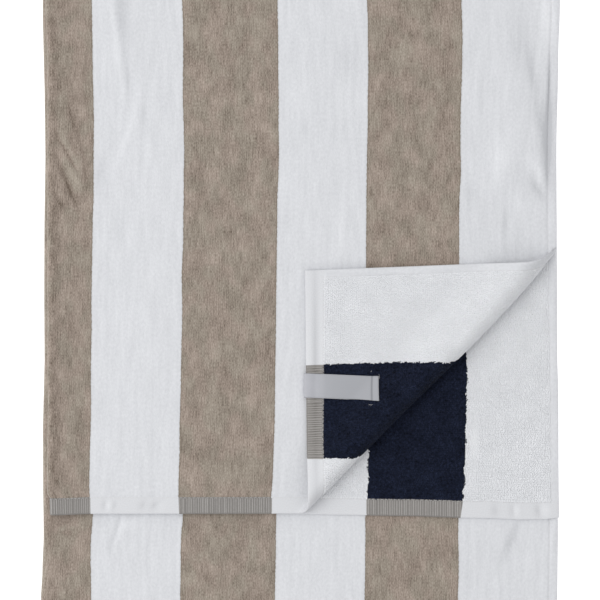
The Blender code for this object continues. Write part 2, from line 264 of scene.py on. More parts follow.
@dataclass(frozen=True)
class Stripes:
    """The stripes along the towel, even about its middle.

    A coloured stripe lies over the middle, then white and coloured ones take turns, and the last
    white one runs to the selvedge.
    """

    coloured: float = 0.0651
    white: float = 0.0616
    last_white: float = 0.300  # from here out, no further coloured stripe starts

    @property
    def borders(self) -> Array:
        """The towel's middle and the five borders beside it.

        Returns:
            Six places u, rising.
        """
        repeat = self.coloured + self.white
        half = self.coloured / 2
        ends = [(middle - half, middle + half) for middle in (0.0, repeat, 2.0 * repeat)]
        return np.maximum(np.array(ends).ravel(), 0.0)

    def is_coloured(self, u: Array) -> NDArray[np.bool_]:
        """True where the nearest coloured stripe's middle is nearer than half its width.

        Args:
            u: places across the towel.

        Returns:
            One answer for each place.
        """
        repeat = self.coloured + self.white
        across = np.minimum(np.abs(u), self.last_white)
        from_middle = np.abs((across + repeat / 2) % repeat - repeat / 2)
        return from_middle < self.coloured / 2

    def beyond_border(self, graph: "Graph", u: Socket) -> Socket:
        """The nodes for the distance past the nearest coloured stripe's border, by that formula.

        Args:
            graph: the material's nodes.
            u: the place across the towel.

        Returns:
            A socket in metres, minus in the coloured stripes and plus in the white ones.
        """
        repeat = self.coloured + self.white
        across = graph.math("MINIMUM", graph.math("ABSOLUTE", u), self.last_white)
        wrapped = graph.math("MODULO", graph.math("ADD", across, repeat / 2), repeat)
        from_middle = graph.math("ABSOLUTE", graph.math("SUBTRACT", wrapped, repeat / 2))
        return graph.math("SUBTRACT", from_middle, self.coloured / 2)


@dataclass(frozen=True)
class Cloth:
    """Sizes of the towel before it is folded."""

    width: float = 0.700
    length: float = 1.400
    pile: float = 0.0028
    hem: float = 0.0020
    ground: float = 0.00090  # from the middle of the cloth to the weave that the loops stand on
    end_hem: float = 0.0117
    side_hem: float = 0.0057
    hem_step: float = 0.0014
    rim: float = 0.0010
    warp_pitch: float = 0.00161
    groove_depth: float = 0.0006
    groove_width: float = 0.00090
    back_groove: float = 0.0005
    seam_depth: float = 0.00012
    seam_width: float = 0.0007
    stripes: Stripes = field(default_factory=Stripes)

    @property
    def half_width(self) -> float:
        """Half the towel's width, which is also the width of the folded towel."""
        return self.width / 2

    def from_end(self, v: Array) -> Array:
        """The distance to the nearer end of the towel."""
        return np.minimum(v, self.length - v)

    def from_selvedge(self, u: Array) -> Array:
        """The distance to the nearer selvedge."""
        return self.half_width - np.abs(u)

    def in_end_hem(self, v: Array) -> Array:
        """1 in the end hems and 0 in the pile, with a short step between."""
        return 1.0 - smooth((self.from_end(v) - self.end_hem) / self.hem_step)

    def half_thickness(self, u: Array, v: Array, side: Side) -> Array:
        """The height of the surface over the middle of the cloth, on one side.

        The pile is full height, the end hems are thinner, and a stitched groove runs along each side
        hem. On the back the pile's loops are pieces of their own, so the surface lies at their
        ground, but for the side hems, which are turned over it. Every edge is rounded like a quarter
        ellipse.

        Args:
            u: places across the flat towel.
            v: places along it.
            side: the side whose surface is meant.

        Returns:
            The heights, which are plus for either side.
        """
        from_side = self.from_selvedge(u)
        groove = np.exp(-((from_side - self.side_hem) / self.groove_width) ** 2)
        if side is Side.FACE:
            pile = self.pile / 2 - self.groove_depth * groove
        else:
            beside = smooth((from_side - self.side_hem) / self.hem_step)
            pile = self.pile / 2 + (self.ground - self.pile / 2) * beside - self.back_groove * groove
        seam = np.exp(-((self.from_end(v) - self.end_hem + self.seam_width) / self.seam_width) ** 2)
        hem = self.hem / 2 - self.seam_depth * seam
        height = pile + (hem - pile) * self.in_end_hem(v)
        for edge in (from_side, self.from_end(v)):
            short = 1.0 - np.clip(edge / self.rim, 0.0, 1.0)
            height = height * np.sqrt(1.0 - short**2)
        return height


@dataclass(frozen=True)
class FoldRule:
    """Carries points of the flat towel to their places, in the order of a maker's hands.

    The corner at the plus-u end of the hem is rolled back over the face along a slanted crest, the
    sheet is folded lengthwise at u = 0 with the face out, and the pair of layers is folded
    crosswise, so that four layers lie on each other.
    """

    cloth: Cloth = field(default_factory=Cloth)
    layer_gap: float = 0.0005
    side_radius: float = 0.0021
    top_radius: float = 0.0022
    settling: float = 0.030
    overhang: float = 0.092
    fold_reach: float = 0.045
    selvedge_reach: float = 0.110
    hem_reach: float = 0.060
    hem_droop: Pair = (0.0012, 0.0006)  # of the top layer's and the second's hem
    droop_reach: float = 0.030
    crease_reach: float = 0.006

    crest_on_hem: float = 0.1725
    crest_on_side: float = 0.1765
    roll_radius: float = 0.0045
    opening_length: float = 0.020  # along the crest from the selvedge, where the roll lies open
    fullness: float = 0.0024  # how much wider the roll's upper half is than its lower one
    height_share: float = 0.8  # the share of that fullness that it is higher
    spread: float = 0.0062  # how much wider again its open end is
    lift: float = 0.0062  # how much higher again its open end is
    sweep: float = 0.0046  # how far the open end's crest bends back
    straightness: float = 0.15  # how straight the open end rises
    spread_reach: float = 0.010  # how far over the flap the roll lies as open as on its crest
    past_selvedge: float = 0.3  # how far past the selvedge it opens more, in opening lengths
    hem_lean: float = 0.0026  # how far the turned hem leans out at the selvedge
    hem_lean_from: float = 0.210
    hem_lean_reach: float = 1.5  # in widths of the end hem
    take_up: float = 0.955
    slip: float = 0.017
    flap_rise: float = 0.0033
    flap_settling: float = 0.026
    flap_stretch: float = 0.0009
    bow: float = 0.0007
    bow_place: float = 0.085
    bow_length: float = 0.060
    bow_depth: float = 0.022
    crease_lift: float = 0.0020  # a turned part this high no longer has the layer's creases
    step: float = 1e-5

    @property
    def half_layer(self) -> float:
        """Half the distance between the middles of two layers."""
        return (self.cloth.pile + self.layer_gap) / 2

    @property
    def top_arc(self) -> float:
        """The length of cloth in the crosswise fold, at the middle of the pair of layers."""
        return math.pi * (self.half_layer + self.top_radius)

    @property
    def fold_start(self) -> float:
        """The place v where the crosswise fold starts."""
        return (self.cloth.length - self.top_arc - self.overhang) / 2

    @property
    def hem_y(self) -> float:
        """The place y of the upper hems, with the folded towel centred on the origin."""
        reach = self.half_layer * 2 + self.top_radius + self.cloth.pile / 2
        return self.overhang - (self.fold_start + self.overhang + reach) / 2

    @property
    def left(self) -> float:
        """The place x of the lengthwise fold."""
        return -self.cloth.half_width / 2

    @property
    def crest_length(self) -> float:
        """The length of the turned corner's crest, from hem to selvedge."""
        return math.hypot(self.crest_on_hem, self.crest_on_side)

    @property
    def crest_foot(self) -> float:
        """The place u where the crest meets the hem."""
        return self.cloth.half_width - self.crest_on_hem

    @property
    def crest_heading(self) -> Pair:
        """The crest's direction on the flat towel, as its parts across it and along it."""
        return self.crest_on_hem / self.crest_length, self.crest_on_side / self.crest_length

    def crest_frame(self, u: Array, v: Array) -> tuple[Array, Array]:
        """The distances along the crest from the hem and outwards from it towards the corner.

        Args:
            u: places across the flat towel.
            v: places along it.

        Returns:
            Both distances, the one along the crest first.
        """
        across, along = self.crest_heading
        from_foot = u - self.crest_foot
        return from_foot * across + v * along, from_foot * along - v * across

    def upper_half(self, along: Array, outward: Array) -> tuple[Array, Array, Array, Array]:
        """The shape of the roll's upper half, which opens towards the selvedge.

        Args:
            along: distances along the crest from the hem.
            outward: distances outwards from the crest.

        Returns:
            The opening's share, the half's width and height, and its arc's even radius.
        """
        over_flap = np.clip(outward, 0.0, self.spread_reach)
        from_selvedge = (self.crest_length - along - over_flap) / self.opening_length
        opened = np.exp(-np.maximum(from_selvedge, -self.past_selvedge))
        wide = self.roll_radius + self.fullness + self.spread * opened
        high = self.roll_radius + self.height_share * self.fullness + self.lift * opened
        return opened, wide, high, np.sqrt((wide**2 + high**2) / 2)

    def roll_shade_share(self, u: Array, v: Array) -> Array:
        """How much painted shade lies on the roll's upper half, from its outline to its top.

        It is the sine of twice the angle round that half where the roll is tight, blended into the
        angle's cosine where it lies open, and twice as much there.

        Args:
            u: places across the flat towel.
            v: places along it.

        Returns:
            The share of painted shade, which is 0 away from the roll.
        """
        along, outward = self.crest_frame(u, v)
        opened, _, _, radius = self.upper_half(along, outward)
        above = outward + self.roll_radius * (1.0 - math.pi / 2)
        angle = np.clip(above / radius, 0.0, math.pi / 2)
        opened = np.minimum(opened, 1.0)
        roll_shading = (1.0 - opened) * np.sin(2.0 * angle) + opened * np.cos(angle)
        started = smooth(outward / self.roll_radius + 1.0)
        return started * roll_shading * (0.5 + 0.5 * opened)

    def turn_corner(self, u: Array, v: Array) -> tuple[Array, Array, Array]:
        """Rolls the corner back: a round half turn, then the flap, which settles on the layer.

        The roll's lower quarter is a circle's. Its upper quarter is an ellipse's that grows
        towards the selvedge and is blended there with a straight rise, and the crest also bends
        back, all by a share that dies away along the crest. The ellipse's arc is taken as that of
        a circle with the root of its half axes' mean square as its radius.

        Args:
            u: places across the flat towel.
            v: places along it.

        Returns:
            The places u and v of the turned cloth and its rise over the layer.
        """
        lean_width = self.cloth.half_width - self.hem_lean_from
        lean = self.hem_lean * np.clip((u - self.hem_lean_from) / lean_width, 0.0, 1.0)
        v = v - lean * (1.0 - smooth(v / (self.hem_lean_reach * self.cloth.end_hem)))
        along, outward = self.crest_frame(u, v)
        opened, wide, high, radius = self.upper_half(along, outward)
        tight = self.roll_radius
        arc = outward + tight
        first = np.clip(arc / tight, 0.0, math.pi / 2)
        above = np.maximum(arc - math.pi / 2 * tight, 0.0)
        second = np.clip(above / radius, 0.0, math.pi / 2)
        flap = np.maximum(above - math.pi / 2 * radius, 0.0)
        straight = self.straightness * np.minimum(opened, 1.0)
        share = second / (math.pi / 2)
        back = wide * ((1.0 - straight) * (1.0 - np.cos(second)) + straight * share)
        up = high * ((1.0 - straight) * np.sin(second) + straight * share)
        turned = tight * (np.sin(first) - 1.0) - back
        outward = np.where(arc > 0.0, turned - self.take_up * flap, outward)
        outward = outward - self.sweep * opened * smooth(first / (math.pi / 2))
        outward = outward - self.flap_stretch * smooth(flap / self.flap_settling)
        along = along + self.slip * flap
        rise = tight * (1.0 - np.cos(first)) + up
        rise -= (tight + high - self.flap_rise) * smooth(flap / self.flap_settling)
        from_bow = (self.crest_length - self.bow_place - along) / self.bow_length
        outward = outward + self.bow * np.exp(-(from_bow**2) - (outward / self.bow_depth) ** 2)
        across_share, along_share = self.crest_heading
        turned_u = self.crest_foot + along * across_share + outward * along_share
        turned_v = along * along_share - outward * across_share
        return turned_u, turned_v, rise

    def fold_lengthwise(self, u: Array, v: Array) -> tuple[Array, Array, Array]:
        """Folds at u = 0 with a round edge.

        Args:
            u: places across the towel, after the corner's turn.
            v: places along it, after the corner's turn.

        Returns:
            The place x, the side's offset from the middle of the pair, and half its opening.
        """
        radius = self.side_radius
        across = np.abs(u)
        angle = np.minimum(across / radius, math.pi / 2)
        beyond = np.maximum(across - math.pi / 2 * radius, 0.0)
        from_fold = radius * (1.0 - np.cos(angle)) + beyond
        loose = 1.0 - smooth(beyond / self.settling)
        opening = self.half_layer + (radius - self.half_layer) * loose
        offset = np.sign(u) * np.where(beyond > 0.0, opening, radius * np.sin(angle))
        places, fold_shifts, selvedge_shifts = EDGE_SHIFTS
        near_fold = 1.0 - smooth(from_fold / self.fold_reach)
        near_selvedge = 1.0 - smooth((self.cloth.half_width - from_fold) / self.selvedge_reach)
        x = self.left + from_fold
        x = x + eased(v, places, fold_shifts) * near_fold
        x = x + eased(v, places, selvedge_shifts) * near_selvedge
        return x, offset, opening

    def relief(self, x: Array, y: Array, swells: tuple[Swell, ...], reach: float) -> Array:
        """The sum of soft ridges and troughs, which fade towards the lengthwise fold.

        Each is its height times a bell along its heading times a bell across it.

        Args:
            x: places across the folded towel.
            y: places along it.
            swells: the ridges and troughs.
            reach: the distance over which they fade.

        Returns:
            The height that they add at each place.
        """
        height = np.zeros_like(x)
        for swell in swells:
            turn = math.radians(swell.heading)
            along = (x - swell.x) * math.cos(turn) + (y - swell.y) * math.sin(turn)
            across = (y - swell.y) * math.cos(turn) - (x - swell.x) * math.sin(turn)
            bell = (along / swell.half_length) ** 2 + (across / swell.half_width) ** 2
            height += swell.height * np.exp(-bell)
        return height * smooth((x - self.left - 2 * self.side_radius) / reach)

    def fold_crosswise(
        self, u: Array, x: Array, v: Array, offset: Array, opening: Array
    ) -> tuple[Array, Array]:
        """Carries the pair along its profile: flat above, half round the fold, flat below.

        Args:
            u: places across the flat towel, for the shifts of its hem.
            x: the places x from the lengthwise fold.
            v: places along the towel, after the corner's turn.
            offset: the side's offset from the middle of the pair.
            opening: half the opening of the pair.

        Returns:
            The places and the height of the small creases, which isn't in them yet.
        """
        start_y = self.hem_y + self.fold_start
        bend = np.clip((v - self.fold_start) / self.top_arc, 0.0, 1.0) * math.pi
        before = np.maximum(self.fold_start - v, 0.0)
        after = np.maximum(v - self.fold_start - self.top_arc, 0.0)
        settled = smooth(before / (2.0 * self.settling))
        inner = self.top_radius + (self.half_layer - self.top_radius) * settled
        radius = opening + inner
        y = start_y - before - after + (radius + offset) * np.sin(bend)
        y = y + eased(u, *HEM_SHIFTS) * (1.0 - smooth(v / self.hem_reach))
        z = self.cloth.pile / 2 + opening + radius + (radius + offset) * np.cos(bend)
        near_fold = smooth((start_y - y) / self.settling)
        on_top = (offset > 0.0) & (before > 0.0)
        z = z + np.where(on_top, self.relief(x, y, SWELLS, self.settling) * near_fold, 0.0)
        places = {
            Layer.TOP: on_top,
            Layer.SECOND: (offset < 0.0) & (before > 0.0),
            Layer.THIRD: (offset < 0.0) & (after > 0.0),
        }
        droop = np.where(offset > 0.0, *self.hem_droop)
        z = z - droop * (1.0 - smooth(v / self.droop_reach))
        creases = np.zeros_like(z)
        for layer, here in places.items():
            creases += np.where(here, self.relief(x, y, CREASES[layer], self.crease_reach), 0.0)
        return stacked(x, y, z), creases

    def middle(self, u: Array, v: Array) -> tuple[Array, Array]:
        """The folded place of the middle of the cloth, and the height of its small creases.

        Args:
            u: places across the flat towel.
            v: places along it.

        Returns:
            The places, and the height of the creases, which is in them.
        """
        turned_u, turned_v, rise = self.turn_corner(u, v)
        x, offset, opening = self.fold_lengthwise(turned_u, turned_v)
        place, creases = self.fold_crosswise(u, x, turned_v, offset, opening)
        on_flap = self.relief(place[..., 0], place[..., 1], CREASES[Layer.FLAP], self.crease_reach)
        creases = creases + (on_flap - creases) * smooth(rise / self.crease_lift)
        place[..., 2] += rise + creases
        return place, creases

    def place(self, flat: Array) -> Array:
        """The folded places of flat points: the middle of the cloth, then w along its normal.

        Args:
            flat: points (u, v, w) in the last axis.

        Returns:
            Points (x, y, z) of the same shape.
        """
        u, v, w = (flat[..., axis].ravel() for axis in range(3))
        along_u = self.middle(u + self.step, v)[0] - self.middle(u - self.step, v)[0]
        along_v = self.middle(u, v + self.step)[0] - self.middle(u, v - self.step)[0]
        normal = np.cross(along_u, along_v)
        normal /= np.linalg.norm(normal, axis=-1, keepdims=True)
        return (self.middle(u, v)[0] + w[:, None] * normal).reshape(flat.shape)


def linked(name: str, data: bpy.types.ID) -> bpy.types.Object:
    """A new object with that data, linked to the scene.

    Args:
        name: the object's name.
        data: its data, such as a mesh.

    Returns:
        The object.
    """
    obj = bpy.data.objects.new(name, data)
    bpy.context.scene.collection.objects.link(obj)
    return obj


@dataclass
class Surface:
    """A mesh worked out on the flat cloth: its points, its faces and what goes with them."""

    points: Array
    faces: Whole
    uv: Array | None = None
    slots: Whole | None = None
    # painted light and shade at each point
    painted_light: Array | None = None

    def folded(self, rule: FoldRule) -> "Surface":
        """The same mesh carried to its folded place."""
        return replace(self, points=rule.place(self.points))

    def to_object(self, name: str, materials: list[bpy.types.Material]) -> bpy.types.Object:
        """Puts the mesh into a new object at the origin, shaded smooth.

        Args:
            name: the piece's name.
            materials: one for each slot.

        Returns:
            The object, linked to the scene.
        """
        count, corners = self.faces.shape
        mesh = bpy.data.meshes.new(name)
        mesh.vertices.add(len(self.points))
        mesh.vertices.foreach_set("co", self.points.astype(np.float32).ravel())
        mesh.loops.add(count * corners)
        mesh.loops.foreach_set("vertex_index", self.faces.astype(np.int32).ravel())
        mesh.polygons.add(count)
        mesh.polygons.foreach_set("loop_start", np.arange(0, count * corners, corners))
        mesh.update(calc_edges=True)
        for material in materials:
            mesh.materials.append(material)
        if self.slots is not None:
            mesh.polygons.foreach_set("material_index", self.slots.astype(np.int32))
        if self.uv is not None:
            layer = mesh.uv_layers.new(name=CLOTH_UV)
            layer.data.foreach_set("uv", self.uv[self.faces.ravel()].astype(np.float32).ravel())
        if self.painted_light is not None:
            attribute = mesh.attributes.new(PAINTED_LIGHT, "FLOAT", "POINT")
            attribute.data.foreach_set("value", self.painted_light.astype(np.float32))
        mesh.shade_smooth()
        return linked(name, mesh)


def spans(start: float, *stretches: Pair) -> Array:
    """Grid lines from start on, through stretches that each have a stop and a pitch.

    Args:
        start: the first line.
        stretches: each one's stop and its pitch, which is fitted to a whole number of steps.

    Returns:
        The lines, in order.
    """
    lines = [np.array([start])]
    for stop, pitch in stretches:
        steps = max(1, round(abs(stop - lines[-1][-1]) / pitch))
        lines.append(np.linspace(lines[-1][-1], stop, steps + 1)[1:])
    return np.concatenate(lines)


def with_lines(lines: Array, extra: Array, least: float) -> Array:
    """Adds extra grid lines and drops the lines that lie nearer than least to one of them."""
    far = np.abs(lines[:, None] - extra[None, :]).min(axis=1) >= least
    return np.sort(np.concatenate([lines[far], extra]))


def tubes(lines: Array, wide: Array, high: Array) -> Surface:
    """Closed square tubes along many lines at once.

    At each station a ring of four points lies round the line: the centre plus wide times the cosine
    plus high times the sine of equal steps of angle. The two end rings are closed by one face each.

    Args:
        lines: centre points, (tubes, stations, 3).
        wide: half the width of each ring, as vectors of that shape or one that spreads to it.
        high: half the height of each ring, likewise.

    Returns:
        One surface with all tubes.
    """
    count, stations, _ = lines.shape
    sides = 4
    angle = (2.0 * math.pi * (np.arange(sides) + 0.5) / sides)[:, None]
    wide, high = (np.broadcast_to(half, lines.shape)[:, :, None] for half in (wide, high))
    rings = lines[:, :, None] + wide * np.cos(angle) + high * np.sin(angle)
    index = np.arange(stations * sides).reshape(stations, sides)
    after = np.roll(index, -1, axis=1)
    walls = stacked(index[:-1], after[:-1], after[1:], index[1:]).reshape(-1, 4)
    caps = np.stack([index[0, ::-1], index[-1]])
    one = np.concatenate([walls, caps])
    start = np.arange(count)[:, None, None] * stations * sides
    return Surface(rings.reshape(-1, 3), (one[None] + start).reshape(-1, 4))


def joined(parts: list[Surface]) -> Surface:
    """Several surfaces as one.

    Args:
        parts: the surfaces.

    Returns:
        A surface of all their points and faces.
    """
    starts = np.cumsum([0] + [len(part.points) for part in parts[:-1]])
    faces = np.concatenate([part.faces + start for part, start in zip(parts, starts)])
    return Surface(np.concatenate([part.points for part in parts]), faces)


class Graph:
    """The nodes of one material, with short calls for those that the finishes use."""

    def __init__(self, name: str) -> None:
        """Starts a material of that name with a Principled shader.

        Args:
            name: the material's name.
        """
        self.material = bpy.data.materials.new(name)
        self.material.use_nodes = True
        self.tree = self.material.node_tree
        self.shader = self.tree.nodes["Principled BSDF"]

    def node(self, kind: str) -> bpy.types.Node:
        """A new shader node of that kind."""
        return self.tree.nodes.new(f"ShaderNode{kind}")

    def link(self, value: float | Colour | Socket, socket: Socket) -> None:
        """Sets an input to a number, a size or a colour, or links it to a socket.

        Args:
            value: the number, size or colour, or the socket to link.
            socket: the input.
        """
        if isinstance(value, bpy.types.NodeSocket):
            self.tree.links.new(value, socket)
        else:
            socket.default_value = (*value, 1.0) if socket.type == "RGBA" else value

    def math(self, operation: str, *values: float | Socket) -> Socket:
        """The result of a Math node.

        Args:
            operation: what the node does.
            values: its inputs, in order.

        Returns:
            The result's socket.
        """
        node = self.node("Math")
        node.operation = operation
        for value, socket in zip(values, node.inputs):
            self.link(value, socket)
        return node.outputs[0]

    def step(self, value: Socket, low: float, high: float) -> Socket:
        """A smooth step from 0 at low to 1 at high, which may be the smaller number.

        Args:
            value: the value that is read.
            low: where the step is 0.
            high: where the step is 1.

        Returns:
            The step's socket.
        """
        node = self.node("MapRange")
        node.interpolation_type = "SMOOTHSTEP"
        bounds = (low, high, 0.0, 1.0) if low < high else (high, low, 1.0, 0.0)
        names = ("Value", "From Min", "From Max", "To Min", "To Max")
        for name, setting in zip(names, (value, *bounds)):
            self.link(setting, node.inputs[name])
        return node.outputs["Result"]

    def cloth_place(self) -> Socket:
        """The place on the flat cloth, from the piece's own map.

        Returns:
            The map's socket.
        """
        node = self.node("UVMap")
        node.uv_map = CLOTH_UV
        return node.outputs["UV"]

    def object_place(self) -> Socket:
        """The place in the row frame, since every piece lies at the origin."""
        return self.node("TexCoord").outputs["Object"]

    def part(self, place: Socket, axis: int) -> Socket:
        """One coordinate of a place.

        Args:
            place: the place's socket.
            axis: 0 for the first coordinate, up to 2.

        Returns:
            The coordinate's socket.
        """
        node = self.node("SeparateXYZ")
        self.link(place, node.inputs[0])
        return node.outputs[axis]

    def noise(self, place: Socket, size: tuple[float, ...], detail: float) -> Socket:
        """Noise whose features have that size in metres, along two axes or three.

        Args:
            place: the place that it is read at.
            size: the features' size along each axis.
            detail: how many finer layers it has.

        Returns:
            The noise's socket, from 0 to 1.
        """
        mapping = self.node("Mapping")
        self.link(tuple(1.0 / length for length in (*size, 1.0)[:3]), mapping.inputs["Scale"])
        self.link(place, mapping.inputs["Vector"])
        node = self.node("TexNoise")
        self.link(1.0, node.inputs["Scale"])
        self.link(detail, node.inputs["Detail"])
        self.link(mapping.outputs["Vector"], node.inputs["Vector"])
        return node.outputs["Fac"]

    def blend(self, *weighted: tuple[Socket, float]) -> Socket:
        """Half plus the sum of each noise's distance from half times its weight, kept in 0 to 1.

        Args:
            weighted: each noise with its weight.

        Returns:
            The blend's socket.
        """
        total: float | Socket = 0.5 - sum(weight for _, weight in weighted) / 2
        for noise, weight in weighted:
            total = self.math("MULTIPLY_ADD", noise, weight, total)
        return self.math("MAXIMUM", self.math("MINIMUM", total, 1.0), 0.0)

    def mix(self, share: Socket, first: Colour | Socket, second: Colour | Socket) -> Socket:
        """The first colour where share is 0 and the second where it is 1.

        Args:
            share: the share of the second colour.
            first: the colour at 0.
            second: the colour at 1.

        Returns:
            The mixed colour's socket.
        """
        node = self.node("Mix")
        node.data_type = "RGBA"
        # A Mix node's colours come after its sockets for numbers and for vectors
        for value, place in ((share, 0), (first, 6), (second, 7)):
            self.link(value, node.inputs[place])
        return node.outputs[2]

    def bump(self, height: Socket, distance: float, strength: float) -> None:
        """Raises the shader's surface by a height from 0 to 1, times the distance.

        Args:
            height: the height's socket.
            distance: what a height of 1 stands for, in metres.
            strength: how much of it shows, from 0 to 1.
        """
        node = self.node("Bump")
        self.link(distance, node.inputs["Distance"])
        self.link(strength, node.inputs["Strength"])
        self.link(height, node.inputs["Height"])
        self.link(node.outputs["Normal"], self.shader.inputs["Normal"])

    def painted_light(self) -> Socket:
        """The piece's painted light and shade, which is a half where none is painted.

        Returns:
            The painted light's socket.
        """
        node = self.node("Attribute")
        node.attribute_name = PAINTED_LIGHT
        return node.outputs["Fac"]

    def finish(
        self, colour: Colour | Socket, roughness: float, sheen: float, shine: float = 0.1
    ) -> bpy.types.Material:
        """Sets the shader's colour, roughness, sheen and shine and gives the material.

        Args:
            colour: the colour or its socket.
            roughness: the roughness.
            sheen: the sheen's weight.
            shine: the specular level.

        Returns:
            The material.
        """
        settings = {
            "Base Color": colour,
            "Roughness": roughness,
            "Specular IOR Level": shine,
            "Sheen Weight": sheen,
            "Sheen Roughness": SHEEN_ROUGHNESS,
        }
        for name, value in settings.items():
            self.link(value, self.shader.inputs[name])
        return self.material


@dataclass(frozen=True)
class Velour:
    """The cut pile of the face: streaks along the warp, a fine grain, a soft, blotchy tone and
    painted light and shade.

    Where two stripes meet, the pile parts a little and shows the darker yarn of the back.
    """

    stripes: Stripes
    white: Shades = ((0.530, 0.540, 0.565), (0.850, 0.860, 0.890))
    dark_beige: Colour = (0.115, 0.088, 0.066)
    warm_beige: Colour = (0.520, 0.435, 0.376)
    cool_beige: Colour = (0.480, 0.425, 0.360)
    parted_beige: Colour = (0.150, 0.125, 0.085)
    parted_white: Colour = (0.42, 0.42, 0.43)
    parted_shares: Pair = (0.45, 0.30)  # of the beige and the white at a border
    # The size of each noise's features, across the stripes and along them
    grain: Pair = (0.00045, 0.0016)
    streak: Pair = (0.00070, 0.0090)
    tuft: Pair = (0.0016, 0.0022)
    furrow: Pair = (0.0035, 0.030)
    cloud: Pair = (0.010, 0.017)
    tint: Pair = (0.014, 0.020)
    stray: Pair = (0.02, 0.0022)
    cool_steps: Pair = (0.40, 0.60)
    border: float = 0.00018
    border_jitter: float = 0.0009
    parting: float = 0.0012

    def material(self) -> bpy.types.Material:
        """Builds the nodes.

        Returns:
            The material.
        """
        graph = Graph("velour")
        place = graph.cloth_place()
        grain = graph.noise(place, self.grain, 2.0)
        streak = graph.noise(place, self.streak, 2.0)
        tuft = graph.noise(place, self.tuft, 1.0)
        furrow = graph.noise(place, self.furrow, 2.0)
        cloud = graph.noise(place, self.cloud, 3.0)
        tint = graph.noise(place, self.tint, 2.0)
        stray = graph.noise(place, self.stray, 1.0)
        painted_light = graph.painted_light()
        shift = graph.math("MULTIPLY", graph.math("SUBTRACT", stray, 0.5), self.border_jitter)
        across = graph.math("ADD", graph.part(place, 0), shift)
        beyond = self.stripes.beyond_border(graph, across)
        # The painted light and shade shift the beige's hue and lighten or darken both colours
        cool = graph.step(graph.blend((tint, 1.0), (painted_light, 0.8)), *self.cool_steps)
        strong = graph.blend((grain, 1.2), (streak, 0.9), (cloud, 0.65), (painted_light, 1.0))
        gentle = graph.blend((grain, 0.2), (tuft, 0.4), (furrow, 0.4), (cloud, 0.15), (painted_light, 1.6))
        tinted = graph.mix(cool, self.warm_beige, self.cool_beige)
        inner = graph.step(beyond, -self.parting, -self.border)
        inner = graph.math("MULTIPLY", inner, self.parted_shares[0])
        beige = graph.mix(inner, graph.mix(strong, self.dark_beige, tinted), self.parted_beige)
        outer = graph.step(beyond, self.parting, self.border)
        outer = graph.math("MULTIPLY", outer, self.parted_shares[1])
        white = graph.mix(outer, graph.mix(gentle, *self.white), self.parted_white)
        graph.bump(graph.blend((grain, 1.0), (streak, 0.5)), distance=0.0005, strength=0.35)
        coloured = graph.step(beyond, self.border, -self.border)
        return graph.finish(graph.mix(coloured, white, beige), roughness=0.9, sheen=0.2)


@dataclass(frozen=True)
class StripedWeave:
    """A bare weave in uneven white and uneven colour, which meet at a soft border."""

    name: str
    stripes: Stripes
    white: Shades
    coloured: Shades
    softness: float
    grain: Pair
    grain_weight: float
    # how strongly the painted light and shade show
    painted_light_weight: float
    grain_height: float
    roughness: float

    def material(self) -> bpy.types.Material:
        """Builds the nodes.

        Returns:
            The material.
        """
        graph = Graph(self.name)
        place = graph.cloth_place()
        grain = graph.noise(place, self.grain, 1.0)
        beyond = self.stripes.beyond_border(graph, graph.part(place, 0))
        coloured = graph.step(beyond, self.softness, -self.softness)
        share = graph.blend((grain, self.grain_weight), (graph.painted_light(), self.painted_light_weight))
        white = graph.mix(share, *self.white)
        colour = graph.mix(coloured, white, graph.mix(share, *self.coloured))
        graph.bump(grain, self.grain_height, strength=0.4)
        return graph.finish(colour, self.roughness, sheen=0.1)


@dataclass(frozen=True)
class YarnFinish:
    """A cotton yarn: fibres as fine noise, and a slow change of shade from tuft to tuft."""

    name: str
    dark: Colour
    light: Colour
    sheen: float = 0.2
    shine: float = 0.1
    unevenness: float = 1.0
    painted_shade: Colour | None = None  # the colour of the painted shade, used where the piece's painted light is low
    # The size of each noise's features
    fibre: float = 0.0003
    tuft: float = 0.0016
    patch: float = 0.012

    def material(self) -> bpy.types.Material:
        """Builds the nodes.

        Returns:
            The material.
        """
        graph = Graph(self.name)
        place = graph.object_place()
        fibre = graph.noise(place, (self.fibre,) * 3, 2.0)
        tuft = graph.noise(place, (self.tuft,) * 3, 1.0)
        patch = graph.noise(place, (self.patch,) * 3, 2.0)
        fine = (fibre, 0.5 * self.unevenness), (tuft, 0.6 * self.unevenness)
        share = graph.blend(*fine, (patch, 0.7))
        graph.bump(fibre, distance=0.0001, strength=0.3)
        colour = graph.mix(share, self.dark, self.light)
        # Blends towards the painted shade where the painted light attribute falls below a half
        if self.painted_shade is not None:
            unshaded = graph.math("MULTIPLY", graph.painted_light(), 2.0)
            colour = graph.mix(unshaded, self.painted_shade, colour)
        return graph.finish(colour, 0.9, self.sheen, self.shine)


